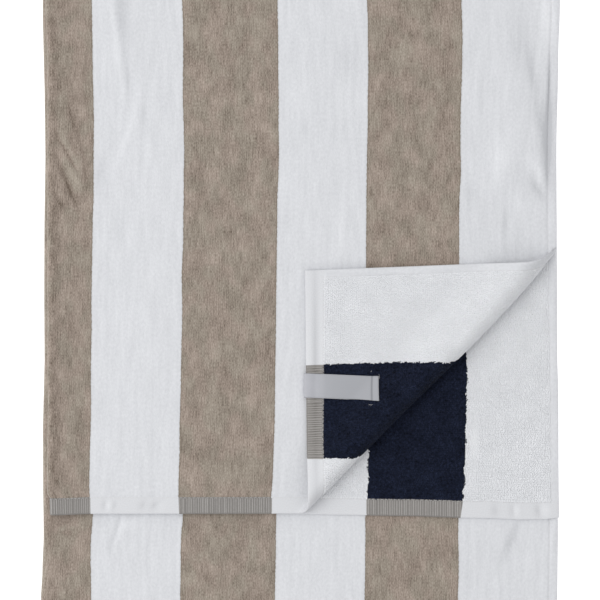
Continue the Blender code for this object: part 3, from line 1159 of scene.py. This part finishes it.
@dataclass(frozen=True)
class Satin:
    """The label's woven satin: fine picks across it and a soft shine, with painted shade towards its
    sewn end and a line of painted shade at its seam.
    """

    dark: Colour = (0.38, 0.385, 0.42)
    light: Colour = (0.55, 0.555, 0.59)
    # Painted shade towards the sewn end, and a darker painted shade along the seam's dent
    shaded_tone: Colour = (0.385, 0.393, 0.420)
    sewn: Colour = (0.13, 0.133, 0.145)
    lit_until: float = 0.014
    shade_starts: float = 0.036
    sewn_at: float = 0.0615
    sewn_width: float = 0.0012
    seam_shade_share: float = 0.5
    # The size of each noise's features, across the tape and along it
    pick: Pair = (0.0012, 0.00022)
    cloud: Pair = (0.012, 0.012)

    def material(self) -> bpy.types.Material:
        """Builds the nodes: the tape's map runs along it from the end of its leg.

        Returns:
            The material.
        """
        graph = Graph("satin")
        place = graph.cloth_place()
        pick = graph.noise(place, self.pick, 1.0)
        cloud = graph.noise(place, self.cloud, 2.0)
        graph.bump(pick, distance=0.00012, strength=0.4)
        share = graph.blend((pick, 0.5), (cloud, 0.6))
        along = graph.part(place, 1)
        # Painted shade deepens from lit_until on, and a line of painted shade lies along the seam
        far = graph.step(along, self.lit_until, self.shade_starts)
        from_sewn = graph.math("ABSOLUTE", graph.math("SUBTRACT", along, self.sewn_at))
        seam_shaded = graph.step(from_sewn, self.sewn_width, 0.0)
        seam_shaded = graph.math("MULTIPLY", seam_shaded, self.seam_shade_share)
        colour = graph.mix(far, graph.mix(share, self.dark, self.light), self.shaded_tone)
        colour = graph.mix(seam_shaded, colour, self.sewn)
        graph.link(0.5, graph.shader.inputs["Anisotropic"])
        return graph.finish(colour, roughness=0.38, sheen=0.1)


@dataclass(frozen=True)
class Floor:
    """The plain white surface that the towel lies on."""

    colour: Colour = (0.80, 0.80, 0.80)
    half_size: float = 3.0
    below: float = 0.0002
    glow: float = 0.60

    def build(self) -> None:
        """One square, just under the towel."""
        size = self.half_size
        corners = np.array([(-size, -size), (size, -size), (size, size), (-size, size)])
        points = np.column_stack([corners, np.full(4, -self.below)])
        graph = Graph("floor")
        graph.link((1.0, 1.0, 1.0), graph.shader.inputs["Emission Color"])
        graph.link(self.glow, graph.shader.inputs["Emission Strength"])
        material = graph.finish(self.colour, roughness=0.9, sheen=0.0)
        floor = Surface(points, np.array([[0, 1, 2, 3]])).to_object("floor", [material])


@dataclass
class StripePlan:
    """Where the stripes run on the cloth, which isn't quite straight."""

    rule: FoldRule

    def cloth_map(self, u: Array, v: Array) -> Array:
        """The place that the stripes are read from, for each point of the cloth.

        The borders' shifts are blended from row to row along the towel and then from border to
        border across it, with none at its middle. The map's u is the cloth's less the shift.

        Args:
            u: places across the flat towel.
            v: places along it.

        Returns:
            The map's u and v, in the last axis.
        """
        borders = self.rule.cloth.stripes.borders
        across = np.abs(u)
        shift = np.zeros_like(u)
        start = self.rule.fold_start
        layers = {
            Layer.TOP: (u >= 0.0) & (v < start),
            Layer.SECOND: (u < 0.0) & (v < start),
            Layer.THIRD: (u < 0.0) & (v >= start),
        }
        for layer, here in layers.items():
            places, *rows = STRIPE_SHIFTS[layer]
            rows = (0.0 * places, *rows)
            at_borders = np.stack([np.interp(v[here], places, row) for row in rows])
            place = across[here]
            index = np.clip(np.searchsorted(borders, place) - 1, 0, 4)
            share = np.clip((place - borders[index]) / (borders[index + 1] - borders[index]), 0, 1)
            pick = np.arange(len(place))
            low, high = at_borders[index, pick], at_borders[index + 1, pick]
            shift[here] = low + (high - low) * share
        return stacked(np.sign(u) * (across - shift), v)


@dataclass
class TowelSheet:
    """The cloth itself: one closed sheet with the pile's thickness, its hems and round edges."""

    rule: FoldRule
    crest_steps: int = 58
    crest_margin: int = 3
    rim_steps: int = 3
    seam_lines: tuple[float, ...] = (0.0030, 0.0045, 0.0052, 0.0057, 0.0062, 0.0067, 0.0072, 0.0080)
    hem_lines: tuple[float, ...] = (0.0098, 0.0104, 0.0110, 0.0117, 0.0121, 0.0126, 0.0131)
    least: float = 0.0004
    # Stretches of grid lines, each with its stop and its pitch, and the pitches between them
    upper_across: Stretches = ((0.034, 0.00115), (0.053, 0.0016), (0.076, 0.0026))
    lower_across: Stretches = (
        (0.026, 0.0021), (0.046, 0.0040), (0.054, 0.0018), (0.170, 0.014), (0.298, 0.0080),
        (0.342, 0.0019),
    )
    before_fold: Stretches = ((0.208, 0.0042), (0.268, 0.0015), (0.385, 0.0052))
    after_fold: Stretches = ((1.250, 0.045), (1.305, 0.0065), (1.330, 0.0022), (1.384, 0.0065))
    upper_fold_pitch: float = 0.0009
    lower_fold_pitch: float = 0.0011
    to_corner_pitch: float = 0.0048
    to_top_fold_pitch: float = 0.016
    beside_top_fold_pitch: float = 0.010
    top_fold_pitch: float = 0.0011
    far_end_pitch: float = 0.004
    top_fold_margins: Pair = (0.060, 0.030)  # before the fold and after it
    # Painted light and shade: a painted highlight on the lengthwise fold's edge, painted shade
    # beside it and on the turned corner's roll, and painted light on crease ridges with painted
    # shade in their troughs
    fold_highlight: float = 0.14
    fold_shade: float = 0.16
    shade_place: float = 0.0045
    shade_width: float = 0.0040
    crease_shading: float = 600.0
    roll_shade: float = 0.33

    def rim_lines(self) -> Array:
        """Distances from an edge where its rounding is sampled, by equal steps of angle."""
        angle = np.linspace(0.0, math.pi / 2, self.rim_steps + 1)
        return self.rule.cloth.rim * (1.0 - np.cos(angle))

    def lines_across(self) -> Array:
        """The grid lines in u: close together at the folds, the seams and the turned corner.

        Returns:
            The lines, rising.
        """
        cloth, rule = self.rule.cloth, self.rule
        pitch = rule.crest_on_hem / self.crest_steps
        corner = rule.crest_foot + pitch * np.arange(-self.crest_margin, self.crest_steps + 1)
        quarter = math.pi / 2 * rule.side_radius
        to_corner = (corner[0], self.to_corner_pitch)
        upper = spans(0.0, (quarter, self.upper_fold_pitch), *self.upper_across, to_corner)
        upper = np.concatenate([upper[:-1], corner])
        lower = spans(0.0, (quarter, self.lower_fold_pitch), *self.lower_across)
        edge = cloth.half_width - np.concatenate([self.rim_lines(), self.seam_lines])
        upper = with_lines(upper, edge, self.least)
        lower = with_lines(lower[1:], edge, self.least)
        return np.concatenate([-lower[::-1], upper])

    def lines_along(self) -> Array:
        """The grid lines in v: close together at the hems, the turned corner and the creases.

        Returns:
            The lines, rising.
        """
        cloth, rule = self.rule.cloth, self.rule
        pitch = rule.crest_on_side / self.crest_steps
        corner = pitch * np.arange(0, self.crest_steps + self.crest_margin + 1)
        start, end = rule.fold_start, rule.fold_start + rule.top_arc
        before, after = self.top_fold_margins
        fold = (
            (start - before, self.to_top_fold_pitch), (start, self.beside_top_fold_pitch),
            (end, self.top_fold_pitch), (end + after, self.beside_top_fold_pitch),
        )
        last = (cloth.length, self.far_end_pitch)
        rest = spans(corner[-1], *self.before_fold, *fold, *self.after_fold, last)
        lines = np.concatenate([corner, rest[1:]])
        ends = np.concatenate([self.rim_lines(), self.hem_lines])
        lines = with_lines(lines, ends, self.least)
        return with_lines(lines, cloth.length - ends, self.least)

    def surface(self, plan: StripePlan) -> Surface:
        """The flat sheet: a grid for each side, which share their outer points.

        The face's grid lies at plus and the back's at minus the half thickness, and each quad is
        cut along the diagonal that runs with the crest, so that the roll is made of even strips.

        Args:
            plan: where the stripes' borders lie.

        Returns:
            The sheet, with its map, material slots and painted light and shade.
        """
        cloth = self.rule.cloth
        across, along = self.lines_across(), self.lines_along()
        u, v = np.meshgrid(across, along)
        face = cloth.half_thickness(u, v, Side.FACE)
        back = -cloth.half_thickness(u, v, Side.BACK)
        upper = np.arange(u.size).reshape(u.shape)
        lower = upper.copy()
        inside = (slice(1, -1), slice(1, -1))
        lower[inside] = u.size + np.arange(lower[inside].size).reshape(lower[inside].shape)
        points = np.concatenate([
            stacked(u, v, face).reshape(-1, 3), stacked(u, v, back)[inside].reshape(-1, 3)
        ])
        triangles, slots = [], []
        middle_u = (u[:-1, :-1] + u[1:, 1:]).ravel() / 2
        middle_v = (v[:-1, :-1] + v[1:, 1:]).ravel() / 2
        hem = cloth.from_end(middle_v) < cloth.end_hem
        turned_hem = cloth.from_selvedge(middle_u) < cloth.side_hem
        back_slots = np.where(turned_hem, 0, 1)
        for index, slot, turned in ((upper, 0, False), (lower, back_slots, True)):
            low, right = index[:-1, :-1].ravel(), index[:-1, 1:].ravel()
            high, left = index[1:, 1:].ravel(), index[1:, :-1].ravel()
            pair = stacked(low, right, high, low, high, left).reshape(-1, 3)
            triangles.append(pair[:, ::-1] if turned else pair)
            slots.append(np.repeat(np.where(hem, 2, slot), 2))
        uv = plan.cloth_map(points[:, 0], points[:, 1])
        painted_light = self.painted_light(points[:, 0], points[:, 1])
        return Surface(points, np.concatenate(triangles), uv, np.concatenate(slots), painted_light)

    def painted_light(self, u: Array, v: Array) -> Array:
        """Painted light and shade: a half, more where light is painted and less where shade is.

        A painted highlight lies on the lengthwise fold's edge and painted shade beside it, by one
        bell each, painted shade lies on the turned corner's roll, and painted light and shade follow
        the height of the small creases.

        Args:
            u: places across the flat towel.
            v: places along it.

        Returns:
            The painted light and shade at each place.
        """
        across = np.abs(u)
        light = self.fold_highlight * np.exp(-((across / self.rule.side_radius) ** 2))
        from_shade = (across - self.shade_place) / self.shade_width
        shade = self.fold_shade * np.exp(-(from_shade**2)) * (v < self.rule.fold_start)
        shade = shade + self.roll_shade * self.rule.roll_shade_share(u, v)
        return 0.5 + light - shade + self.crease_shading * self.rule.middle(u, v)[1]

    def build(self, plan: StripePlan) -> bpy.types.Object:
        """Builds the sheet, dresses it in its three finishes and puts it in the towel's place.

        Args:
            plan: where the stripes' borders lie.

        Returns:
            The sheet.
        """
        stripes = self.rule.cloth.stripes
        ground = StripedWeave(
            "terry_ground", stripes, ((0.69, 0.70, 0.72), (0.83, 0.84, 0.86)),
            ((0.004, 0.006, 0.013), (0.014, 0.019, 0.040)), softness=0.0003,
            grain=(0.0011, 0.0013), grain_weight=1.2, painted_light_weight=0.0, grain_height=0.0008,
            roughness=0.95,
        )
        # The hem's weave takes the sheet's painted light and shade, such as the painted shade in its
        # creases
        hem = StripedWeave(
            "hem_weave", stripes, ((0.56, 0.567, 0.59), (0.80, 0.81, 0.835)),
            ((0.180, 0.170, 0.162), (0.290, 0.276, 0.264)), softness=0.0002,
            grain=(0.0009, 0.0007), grain_weight=0.5, painted_light_weight=1.6, grain_height=0.0002,
            roughness=0.85,
        )
        materials = [finish.material() for finish in (Velour(stripes), ground, hem)]
        obj = self.surface(plan).folded(self.rule).to_object("towel_cloth", materials)
        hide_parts("towel")
        return obj


@dataclass
class TerryPile:
    """The loops of the back, where the turned corner shows them.

    A loop is half an ellipse that stands on the ground weave. Its heading, height, length and lean
    differ a little from those of its neighbours, and the rows across the towel stay in line.
    """

    rule: FoldRule
    pitch: float = 0.00095
    row_pitch: float = 0.00142
    length: float = 0.0017
    stations: int = 4
    radius: dict[Yarn, float] = field(
        default_factory=lambda: {Yarn.WHITE: 0.00042, Yarn.NAVY: 0.00034}
    )
    foot: float = 0.00070
    top: float = 0.00107
    # How far single loops stray from these sizes
    foot_stray: Pair = (0.00014, 0.00008)  # across the towel and along it
    border_stray: float = 0.00006
    heading_stray: float = 0.50
    length_stray: float = 0.12
    height_stray: float = 0.14
    height_limits: Pair = (0.6, 1.12)
    lean: float = 0.00022
    radius_stray: float = 0.08
    reach: float = 0.02  # past the crest's ends
    # painted shade on the loops of the roll's upper half
    roll_shade: float = 0.31
    hidden_reach: float = 0.0060  # loops go on this far under the roll
    hem_margin: float = 0.0005
    wave: dict[Layer, float] = field(
        default_factory=lambda: {Layer.TOP: 0.00012, Layer.SECOND: 0.00030}
    )
    wave_lengths: tuple[float, ...] = (0.0071, 0.0130, 0.0240)
    seed: int = 11

    def places(self, layer: Layer, plan: StripePlan) -> dict[Yarn, Array]:
        """The feet's middles, for each yarn.

        Args:
            layer: the top layer, whose back shows on the flap, or the second.
            plan: the stripes.

        Returns:
            Places (u, v) for each yarn.
        """
        cloth = self.rule.cloth
        draw = np.random.default_rng(self.seed + (layer is Layer.SECOND))
        reach_u = cloth.half_width - cloth.side_hem
        reach_v = self.rule.crest_on_side + self.reach
        across = np.arange(self.rule.crest_foot - self.reach, reach_u, self.pitch)
        along = np.arange(cloth.end_hem + self.hem_margin, reach_v, self.row_pitch)
        u, v = np.meshgrid(across, along)
        u = (u + draw.normal(0.0, self.foot_stray[0], u.shape)).ravel()
        v = (v + draw.normal(0.0, self.foot_stray[1], v.shape)).ravel()
        outward = self.rule.crest_frame(u, v)[1]
        shown = (outward > -self.hidden_reach) & (u < reach_u - self.hem_margin / 2)
        u, v = u[shown], v[shown]
        if layer is Layer.SECOND:
            u = -u
        stray = draw.normal(0.0, self.border_stray, u.shape)
        turns = draw.uniform(0.0, 2.0 * math.pi, len(self.wave_lengths))
        for turn, length in zip(turns, self.wave_lengths):
            stray += self.wave[layer] * np.sin(2.0 * math.pi * v / length + turn)
        mapped = plan.cloth_map(u, v)
        coloured = cloth.stripes.is_coloured(mapped[:, 0] + stray)
        both = stacked(u, v)
        return {Yarn.NAVY: both[coloured], Yarn.WHITE: both[~coloured]}

    def loops(self, places: Array, yarn: Yarn) -> Surface:
        """Loops at those places, on the flat cloth.

        With t from 0 to half a turn, a loop's line runs in plan by minus the cosine of t along its
        heading, stands by the sine of t over its feet and leans by the same sine to one side.

        Args:
            places: the loops' u and v, one row for each loop.
            yarn: the yarn, which sets how thick they are.

        Returns:
            All the loops as one surface, with their painted shade.
        """
        draw = np.random.default_rng(self.seed + 1)
        count = len(places)
        turn = np.linspace(0.0, math.pi, self.stations)
        heading = draw.normal(0.0, self.heading_stray, count)
        length = self.length * draw.normal(1.0, self.length_stray, count)
        height = np.clip(draw.normal(1.0, self.height_stray, count), *self.height_limits)
        rise = (self.top - self.foot) * height
        lean = draw.normal(0.0, self.lean, count)
        run = -np.cos(turn)[None, :] * length[:, None] / 2
        arch = np.sin(turn)[None, :]
        side = lean[:, None] * arch
        sin, cos = np.sin(heading)[:, None], np.cos(heading)[:, None]
        lines = stacked(
            places[:, 0:1] + run * sin + side * cos,
            places[:, 1:2] + run * cos - side * sin,
            -(self.foot + rise[:, None] * arch),
        )
        tangent = np.gradient(lines, axis=1)
        tangent /= np.linalg.norm(tangent, axis=-1, keepdims=True)
        wide = np.cross(tangent, (0.0, 0.0, 1.0))
        wide /= np.linalg.norm(wide, axis=-1, keepdims=True)
        high = np.cross(wide, tangent)
        radius = self.radius[yarn] * draw.normal(1.0, self.radius_stray, count)[:, None, None]
        loops = tubes(lines, wide * radius, high * radius)
        # Painted shade on the loops where the roll's upper half turns away from the light
        roll_shading = self.rule.roll_shade_share(places[:, 0], places[:, 1])
        loops.painted_light = np.repeat(0.5 - self.roll_shade * roll_shading, len(loops.points) // count)
        return loops

    def build(self, plan: StripePlan) -> list[bpy.types.Object]:
        """Builds the loops of both layers, one piece for each layer and yarn.

        Args:
            plan: where the stripes' borders lie.

        Returns:
            The pieces.
        """
        # Each loop finish's last colour is its painted shade on the roll
        finishes = {
            Yarn.WHITE: YarnFinish(
                "white_loop", (0.73, 0.74, 0.765), (0.90, 0.91, 0.935), painted_shade=(0.57, 0.58, 0.60)
            ).material(),
            Yarn.NAVY: YarnFinish(
                "navy_loop", (0.000, 0.000, 0.001), (0.025, 0.033, 0.066), sheen=0.05, shine=0.04,
                unevenness=2.4, painted_shade=(0.003, 0.005, 0.011),
            ).material(),
        }
        pieces = []
        for layer in (Layer.TOP, Layer.SECOND):
            for yarn, places in self.places(layer, plan).items():
                loops = self.loops(places, yarn).folded(self.rule)
                name = f"terry_loops_{layer.value}_{yarn.value}"
                pieces.append(loops.to_object(name, [finishes[yarn]]))
        return pieces


@dataclass
class HemRibs:
    """The grey ribs of the end hems' coloured stripes: yarns that run round the hem's outer edge."""

    rule: FoldRule
    half_width: float = 0.00052
    half_height: float = 0.00015
    sunk: float = 0.00008
    flat_places: tuple[float, ...] = (0.0108, 0.0104, 0.0098, 0.0091, 0.0061, 0.0030)
    turn_steps: int = 3
    stray: float = 0.00018
    unevenness: float = 0.18
    width_limits: Pair = (0.5, 1.5)
    seed: int = 29

    def profile(self) -> tuple[Array, Array, Array, Array]:
        """The way of a rib round the hem, from the back's inner edge to the face's.

        Returns:
            The distance from the end and the height of each station, and the direction that
            points out of the cloth there, as its parts along the towel and through the cloth.
        """
        cloth = self.rule.cloth
        radius, level = cloth.rim, cloth.hem / 2 - self.sunk
        run = np.array(self.flat_places)
        turn = np.linspace(-math.pi / 2, math.pi / 2, self.turn_steps + 1)
        place = np.concatenate([run, radius * (1.0 - np.cos(turn)), run[::-1]])
        level_run = np.full(len(run), level)
        height = np.concatenate([-level_run, level * np.sin(turn), level_run])
        out_v = np.concatenate([0.0 * run, -np.cos(turn), 0.0 * run])
        out_w = np.concatenate([0.0 * run - 1.0, np.sin(turn), 0.0 * run + 1.0])
        return place, height, out_v, out_w

    def surface(self, plan: StripePlan) -> Surface:
        """The ribs of both ends, on the flat cloth.

        Args:
            plan: where the stripes' borders lie.

        Returns:
            All the ribs as one surface.
        """
        cloth = self.rule.cloth
        place, height, out_v, out_w = self.profile()
        reach = cloth.half_width - cloth.rim
        every = np.arange(-reach, reach, cloth.warp_pitch)
        draw = np.random.default_rng(self.seed)
        every = np.clip(every + draw.normal(0.0, self.stray, every.shape), -reach, reach)
        size = np.clip(draw.normal(1.0, self.unevenness, every.shape), *self.width_limits)
        ends = []
        for start, sign in ((0.0, 1.0), (cloth.length, -1.0)):
            mapped = plan.cloth_map(every, np.full_like(every, start))
            here = cloth.stripes.is_coloured(mapped[:, 0])
            across, half = every[here], sign * self.half_width * size[here]
            lines = stacked(across[:, None], start + sign * place, height)
            high = self.half_height * stacked(0.0, sign * out_v, out_w)
            ends.append(tubes(lines, stacked(half[:, None], 0.0, 0.0), high))
        return joined(ends)

    def build(self, plan: StripePlan) -> bpy.types.Object:
        """Builds the ribs as one piece.

        Args:
            plan: where the stripes' borders lie.

        Returns:
            The ribs.
        """
        yarn = YarnFinish(
            "grey_hem_yarn", (0.300, 0.285, 0.273), (0.410, 0.394, 0.378), sheen=0.1, unevenness=1.2
        )
        return self.surface(plan).folded(self.rule).to_object("hem_ribs", [yarn.material()])


class StitchRow(NamedTuple):
    """A row of stitches on the flat cloth, from a start to a stop, on one side."""

    start: Pair
    stop: Pair
    side: Side


@dataclass
class Stitches:
    """The lock stitches that hold the hems down, each a short spindle of thread."""

    rule: FoldRule
    pitch: float = 0.0030
    length: float = 0.0022
    radius: float = 0.00012
    inset: float = 0.0006  # from a hem's inner edge
    rings: tuple[float, ...] = (0.25, 1.0, 1.0, 0.25)

    def rows(self) -> list[StitchRow]:
        """The rows along both end hems and along both side hems.

        Returns:
            The rows, each with its ends and its side of the cloth.
        """
        cloth = self.rule.cloth
        side_row = cloth.half_width - cloth.side_hem
        back_row = side_row + self.inset
        end_row = cloth.end_hem - self.inset
        shown = self.rule.crest_on_side + self.rule.settling
        rows = []
        for sign in (-1.0, 1.0):
            far = (sign * side_row, cloth.length - cloth.end_hem)
            rows.append(StitchRow((sign * side_row, cloth.end_hem), far, Side.FACE))
            far = (sign * back_row, shown)
            rows.append(StitchRow((sign * back_row, cloth.end_hem), far, Side.BACK))
        for v in (end_row, cloth.length - end_row):
            for side in Side:
                rows.append(StitchRow((-back_row, v), (back_row, v), side))
        return rows

    def surface(self, row: StitchRow) -> Surface:
        """One row's stitches: rings of four points that are narrow at each end.

        Args:
            row: the row's ends and its side of the cloth.

        Returns:
            The stitches, on the flat cloth.
        """
        cloth = self.rule.cloth
        start, stop = np.array(row.start), np.array(row.stop)
        span = float(np.linalg.norm(stop - start))
        heading = (stop - start) / span
        count = int(span / self.pitch)
        middles = (np.arange(count) + 0.5) * self.pitch
        steps = np.linspace(-0.5, 0.5, len(self.rings)) * self.length
        flat = start + (middles[:, None] + steps[None, :])[..., None] * heading
        height = cloth.half_thickness(flat[..., 0], flat[..., 1], row.side)
        lines = stacked(flat[..., 0], flat[..., 1], row.side.value * height)
        radius = self.radius * np.array(self.rings)[None, :, None]
        wide = radius * np.array([heading[1], -heading[0], 0.0])
        return tubes(lines, wide, radius * np.array([0.0, 0.0, 1.0]))

    def build(self, material: bpy.types.Material) -> bpy.types.Object:
        """Builds all rows as one piece."""
        stitches = joined([self.surface(row) for row in self.rows()])
        return stitches.folded(self.rule).to_object("hem_stitches", [material])


@dataclass
class Label:
    """The satin tape sewn round the hem: a short leg on the face and a bare front on the back."""

    rule: FoldRule
    width: float = 0.0169
    length: float = 0.0503
    leg: float = 0.0110
    thickness: float = 0.00042
    clearance: float = 0.0004
    from_side: float = 0.0799
    slant: float = 0.081
    leg_steps: int = 6
    turn_steps: int = 10
    front_steps: int = 44
    across_steps: int = 14
    loft: float = 0.0009  # how far the front stands off between the hem and its far stitches
    crown: float = 0.35  # the share of it that is lost at the tape's edges
    sewn_at: float = 0.0462
    sewn_width: float = 0.0016
    sewn_depth: float = 0.00025
    thin_edge: float = 0.49  # from here out, in widths, the tape has half its thickness
    thread_radius: float = 0.00008
    thread_clearance: float = 0.0002

    @property
    def flat_length(self) -> float:
        """The tape's whole length, with the turn round the hem's edge."""
        radius = self.rule.cloth.hem / 2 + self.clearance + self.thickness / 2
        return self.leg + math.pi * radius + self.length

    def u(self, across: Array, place: Array) -> Array:
        """The place across the towel, for a place across the tape and the distance from the hem."""
        return self.rule.cloth.half_width - self.from_side + across - self.slant * place

    def stations(self) -> tuple[Array, Array, Array]:
        """The way along the tape.

        Returns:
            The distance from the hem's edge, the side of the hem as an angle, and the length run.
        """
        leg = np.linspace(self.leg, 0.0, self.leg_steps + 1)[:-1]
        turn = np.linspace(math.pi / 2, -math.pi / 2, self.turn_steps + 1)
        front = np.linspace(0.0, self.length, self.front_steps + 1)[1:]
        place = np.concatenate([leg, 0.0 * turn, front])
        side = np.concatenate([0.0 * leg + math.pi / 2, turn, 0.0 * front - math.pi / 2])
        before_front = self.flat_length - self.length
        around = self.leg + (before_front - self.leg) * (0.5 - turn / math.pi)
        run = np.concatenate([self.leg - leg, around, before_front + front])
        return place, side, run

    def stand_off(self, place: Array, side: Array, across: Array) -> Array:
        """How far the tape stands off its clearance: lofted on the front, held at its stitches.

        Args:
            place: distances from the hem's edge.
            side: the side of the hem as an angle, which is minus on the front.
            across: distances from the middle of the tape.

        Returns:
            The distance that is added at each place.
        """
        share = np.clip(place / self.sewn_at, 0.0, 1.0)
        loft = self.loft * np.sin(math.pi * share) ** 2
        crown = 1.0 - self.crown * (2.0 * across / self.width) ** 2
        sewn = self.sewn_depth * np.exp(-(((place - self.sewn_at) / self.sewn_width) ** 2))
        return np.where(side < 0.0, loft * crown - sewn, 0.0)

    def surface(self) -> Surface:
        """The tape as a closed slab: a ring of points round it at each station.

        Returns:
            The tape round the flat towel's hem, with its map.
        """
        place, side, run = self.stations()
        across = np.linspace(-0.5, 0.5, self.across_steps + 1) * self.width
        around = np.concatenate([across, across[::-1]])
        level = np.repeat([1.0, 0.0], len(across))
        edge = 1.0 - 0.5 * (np.abs(around) > self.thin_edge * self.width)
        level = 0.5 + (level - 0.5) * edge
        place, side, run = (item[:, None] for item in (place, side, run))
        cloth = self.rule.cloth
        pile = smooth((place + cloth.hem_step - cloth.end_hem) / cloth.hem_step)
        half = (cloth.hem + (cloth.pile - cloth.hem) * pile) / 2
        depth = half + self.clearance + self.stand_off(place, side, around) + self.thickness * level
        height, behind = depth * np.sin(side), depth * np.cos(side)
        points = stacked(self.u(around, place), place - behind, height)
        ring = len(around)
        index = np.arange(height.size).reshape(-1, ring)
        after = np.roll(index, -1, axis=1)
        walls = stacked(index[:-1], index[1:], after[1:], after[:-1]).reshape(-1, 4)
        caps = []
        for row, turned in ((index[0], False), (index[-1], True)):
            near, far = row[: ring // 2], row[ring // 2:][::-1]
            cap = stacked(near[:-1], near[1:], far[1:], far[:-1])
            caps.append(cap[:, ::-1] if turned else cap)
        uv = stacked(around, run).reshape(-1, 2)
        return Surface(points.reshape(-1, 3), np.concatenate([walls, *caps]), uv)

    def thread_ends(self) -> Surface:
        """Three loose ends of the sewing thread beside the far stitches.

        Returns:
            The ends as one surface, on the flat cloth.
        """
        right, left = self.width / 2, -self.width / 2
        across = np.array([
            [right + 0.0028, right + 0.0033, right + 0.0036],
            [right + 0.0012, right - 0.0004, right - 0.0020],
            [left - 0.0028, left - 0.0031, left - 0.0028],
        ])
        along = np.array([
            [0.0442, 0.0446, 0.0451], [0.0504, 0.0507, 0.0506], [0.0432, 0.0444, 0.0456]
        ])
        level = -(self.rule.cloth.pile / 2 + self.thread_clearance)
        ends = stacked(self.u(across, along), along, level)
        wide = np.cross(np.gradient(ends, axis=1), (0.0, 0.0, 1.0))
        wide *= self.thread_radius / np.linalg.norm(wide, axis=-1, keepdims=True)
        return tubes(ends, wide, np.array([0.0, 0.0, self.thread_radius]))

    def build(self, thread: bpy.types.Material) -> list[bpy.types.Object]:
        """Builds the tape, puts it in the label's place, and lays the thread ends beside it.

        Args:
            thread: the sewing thread's material.

        Returns:
            The tape and the thread ends.
        """
        tape = self.surface().folded(self.rule).to_object("label_tape", [Satin().material()])
        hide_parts("label")
        ends = self.thread_ends().folded(self.rule).to_object("label_thread_ends", [thread])
        return [tape, ends]


@dataclass
class Studio:
    """The camera straight above, a large soft light from the upper left and a bright room."""

    picture_width: float = 0.4110
    picture_y: float = -0.13518
    picture_height: float = 0.0100  # the height at which the picture has that width
    distance: float = 2.5
    sensor: float = 0.036
    key_place: tuple[float, float, float] = (-1.6, -0.05, 2.0)
    key_size: float = 1.8
    key_power: float = 25.0
    room: float = 0.765

    def camera(self) -> None:
        """A long lens straight above the towel, so that the picture hardly shows perspective."""
        data = bpy.data.cameras.new("camera")
        data.sensor_width = self.sensor * 1000.0
        data.lens = data.sensor_width * self.distance / self.picture_width
        data.clip_end = 50.0
        camera = linked("camera", data)
        camera.location = (0.0, self.picture_y, self.picture_height + self.distance)
        bpy.context.scene.camera = camera

    def lights(self) -> None:
        """One large square light, aimed at the towel, and an even white room."""
        data = bpy.data.lights.new("key", "AREA")
        data.shape = "SQUARE"
        data.size = self.key_size
        data.energy = self.key_power
        key = linked("key", data)
        key.location = self.key_place
        across, y, up = self.key_place
        along = y - self.picture_y
        tilt = math.atan2(math.hypot(across, along), up)
        key.rotation_euler = (tilt, 0.0, math.atan2(along, across) + math.pi / 2)
        world = bpy.data.worlds.new("room")
        world.use_nodes = True
        background = world.node_tree.nodes["Background"]
        background.inputs["Color"].default_value = (1.0, 1.0, 1.0, 1.0)
        background.inputs["Strength"].default_value = self.room
        bpy.context.scene.world = world

    def build(self) -> None:
        """Sets up the camera, the lights, the floor and plain colours on screen."""
        self.camera()
        self.lights()
        Floor().build()
        bpy.context.scene.view_settings.view_transform = "Standard"


def report(obj: bpy.types.Object) -> None:
    """Logs a piece's name and how many faces it has."""
    LOG.info("%s: %d faces", obj.name, len(obj.data.polygons))


def main() -> None:
    """Builds the towel piece by piece, then the studio round it."""
    logging.basicConfig(level=logging.INFO, format="%(name)s: %(message)s")
    rule = FoldRule()
    plan = StripePlan(rule)
    thread = YarnFinish(
        "thread", (0.62, 0.615, 0.61), (0.78, 0.775, 0.77), sheen=0.1, shine=0.2
    ).material()
    sheet = TowelSheet(rule).build(plan)
    sewn = [*TerryPile(rule).build(plan), HemRibs(rule).build(plan), Stitches(rule).build(thread)]
    label = Label(rule).build(thread)
    for piece in (sheet, *sewn, *label):
        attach(piece, "root")
        report(piece)
    Studio().build()


if __name__ == "__main__":
    main()
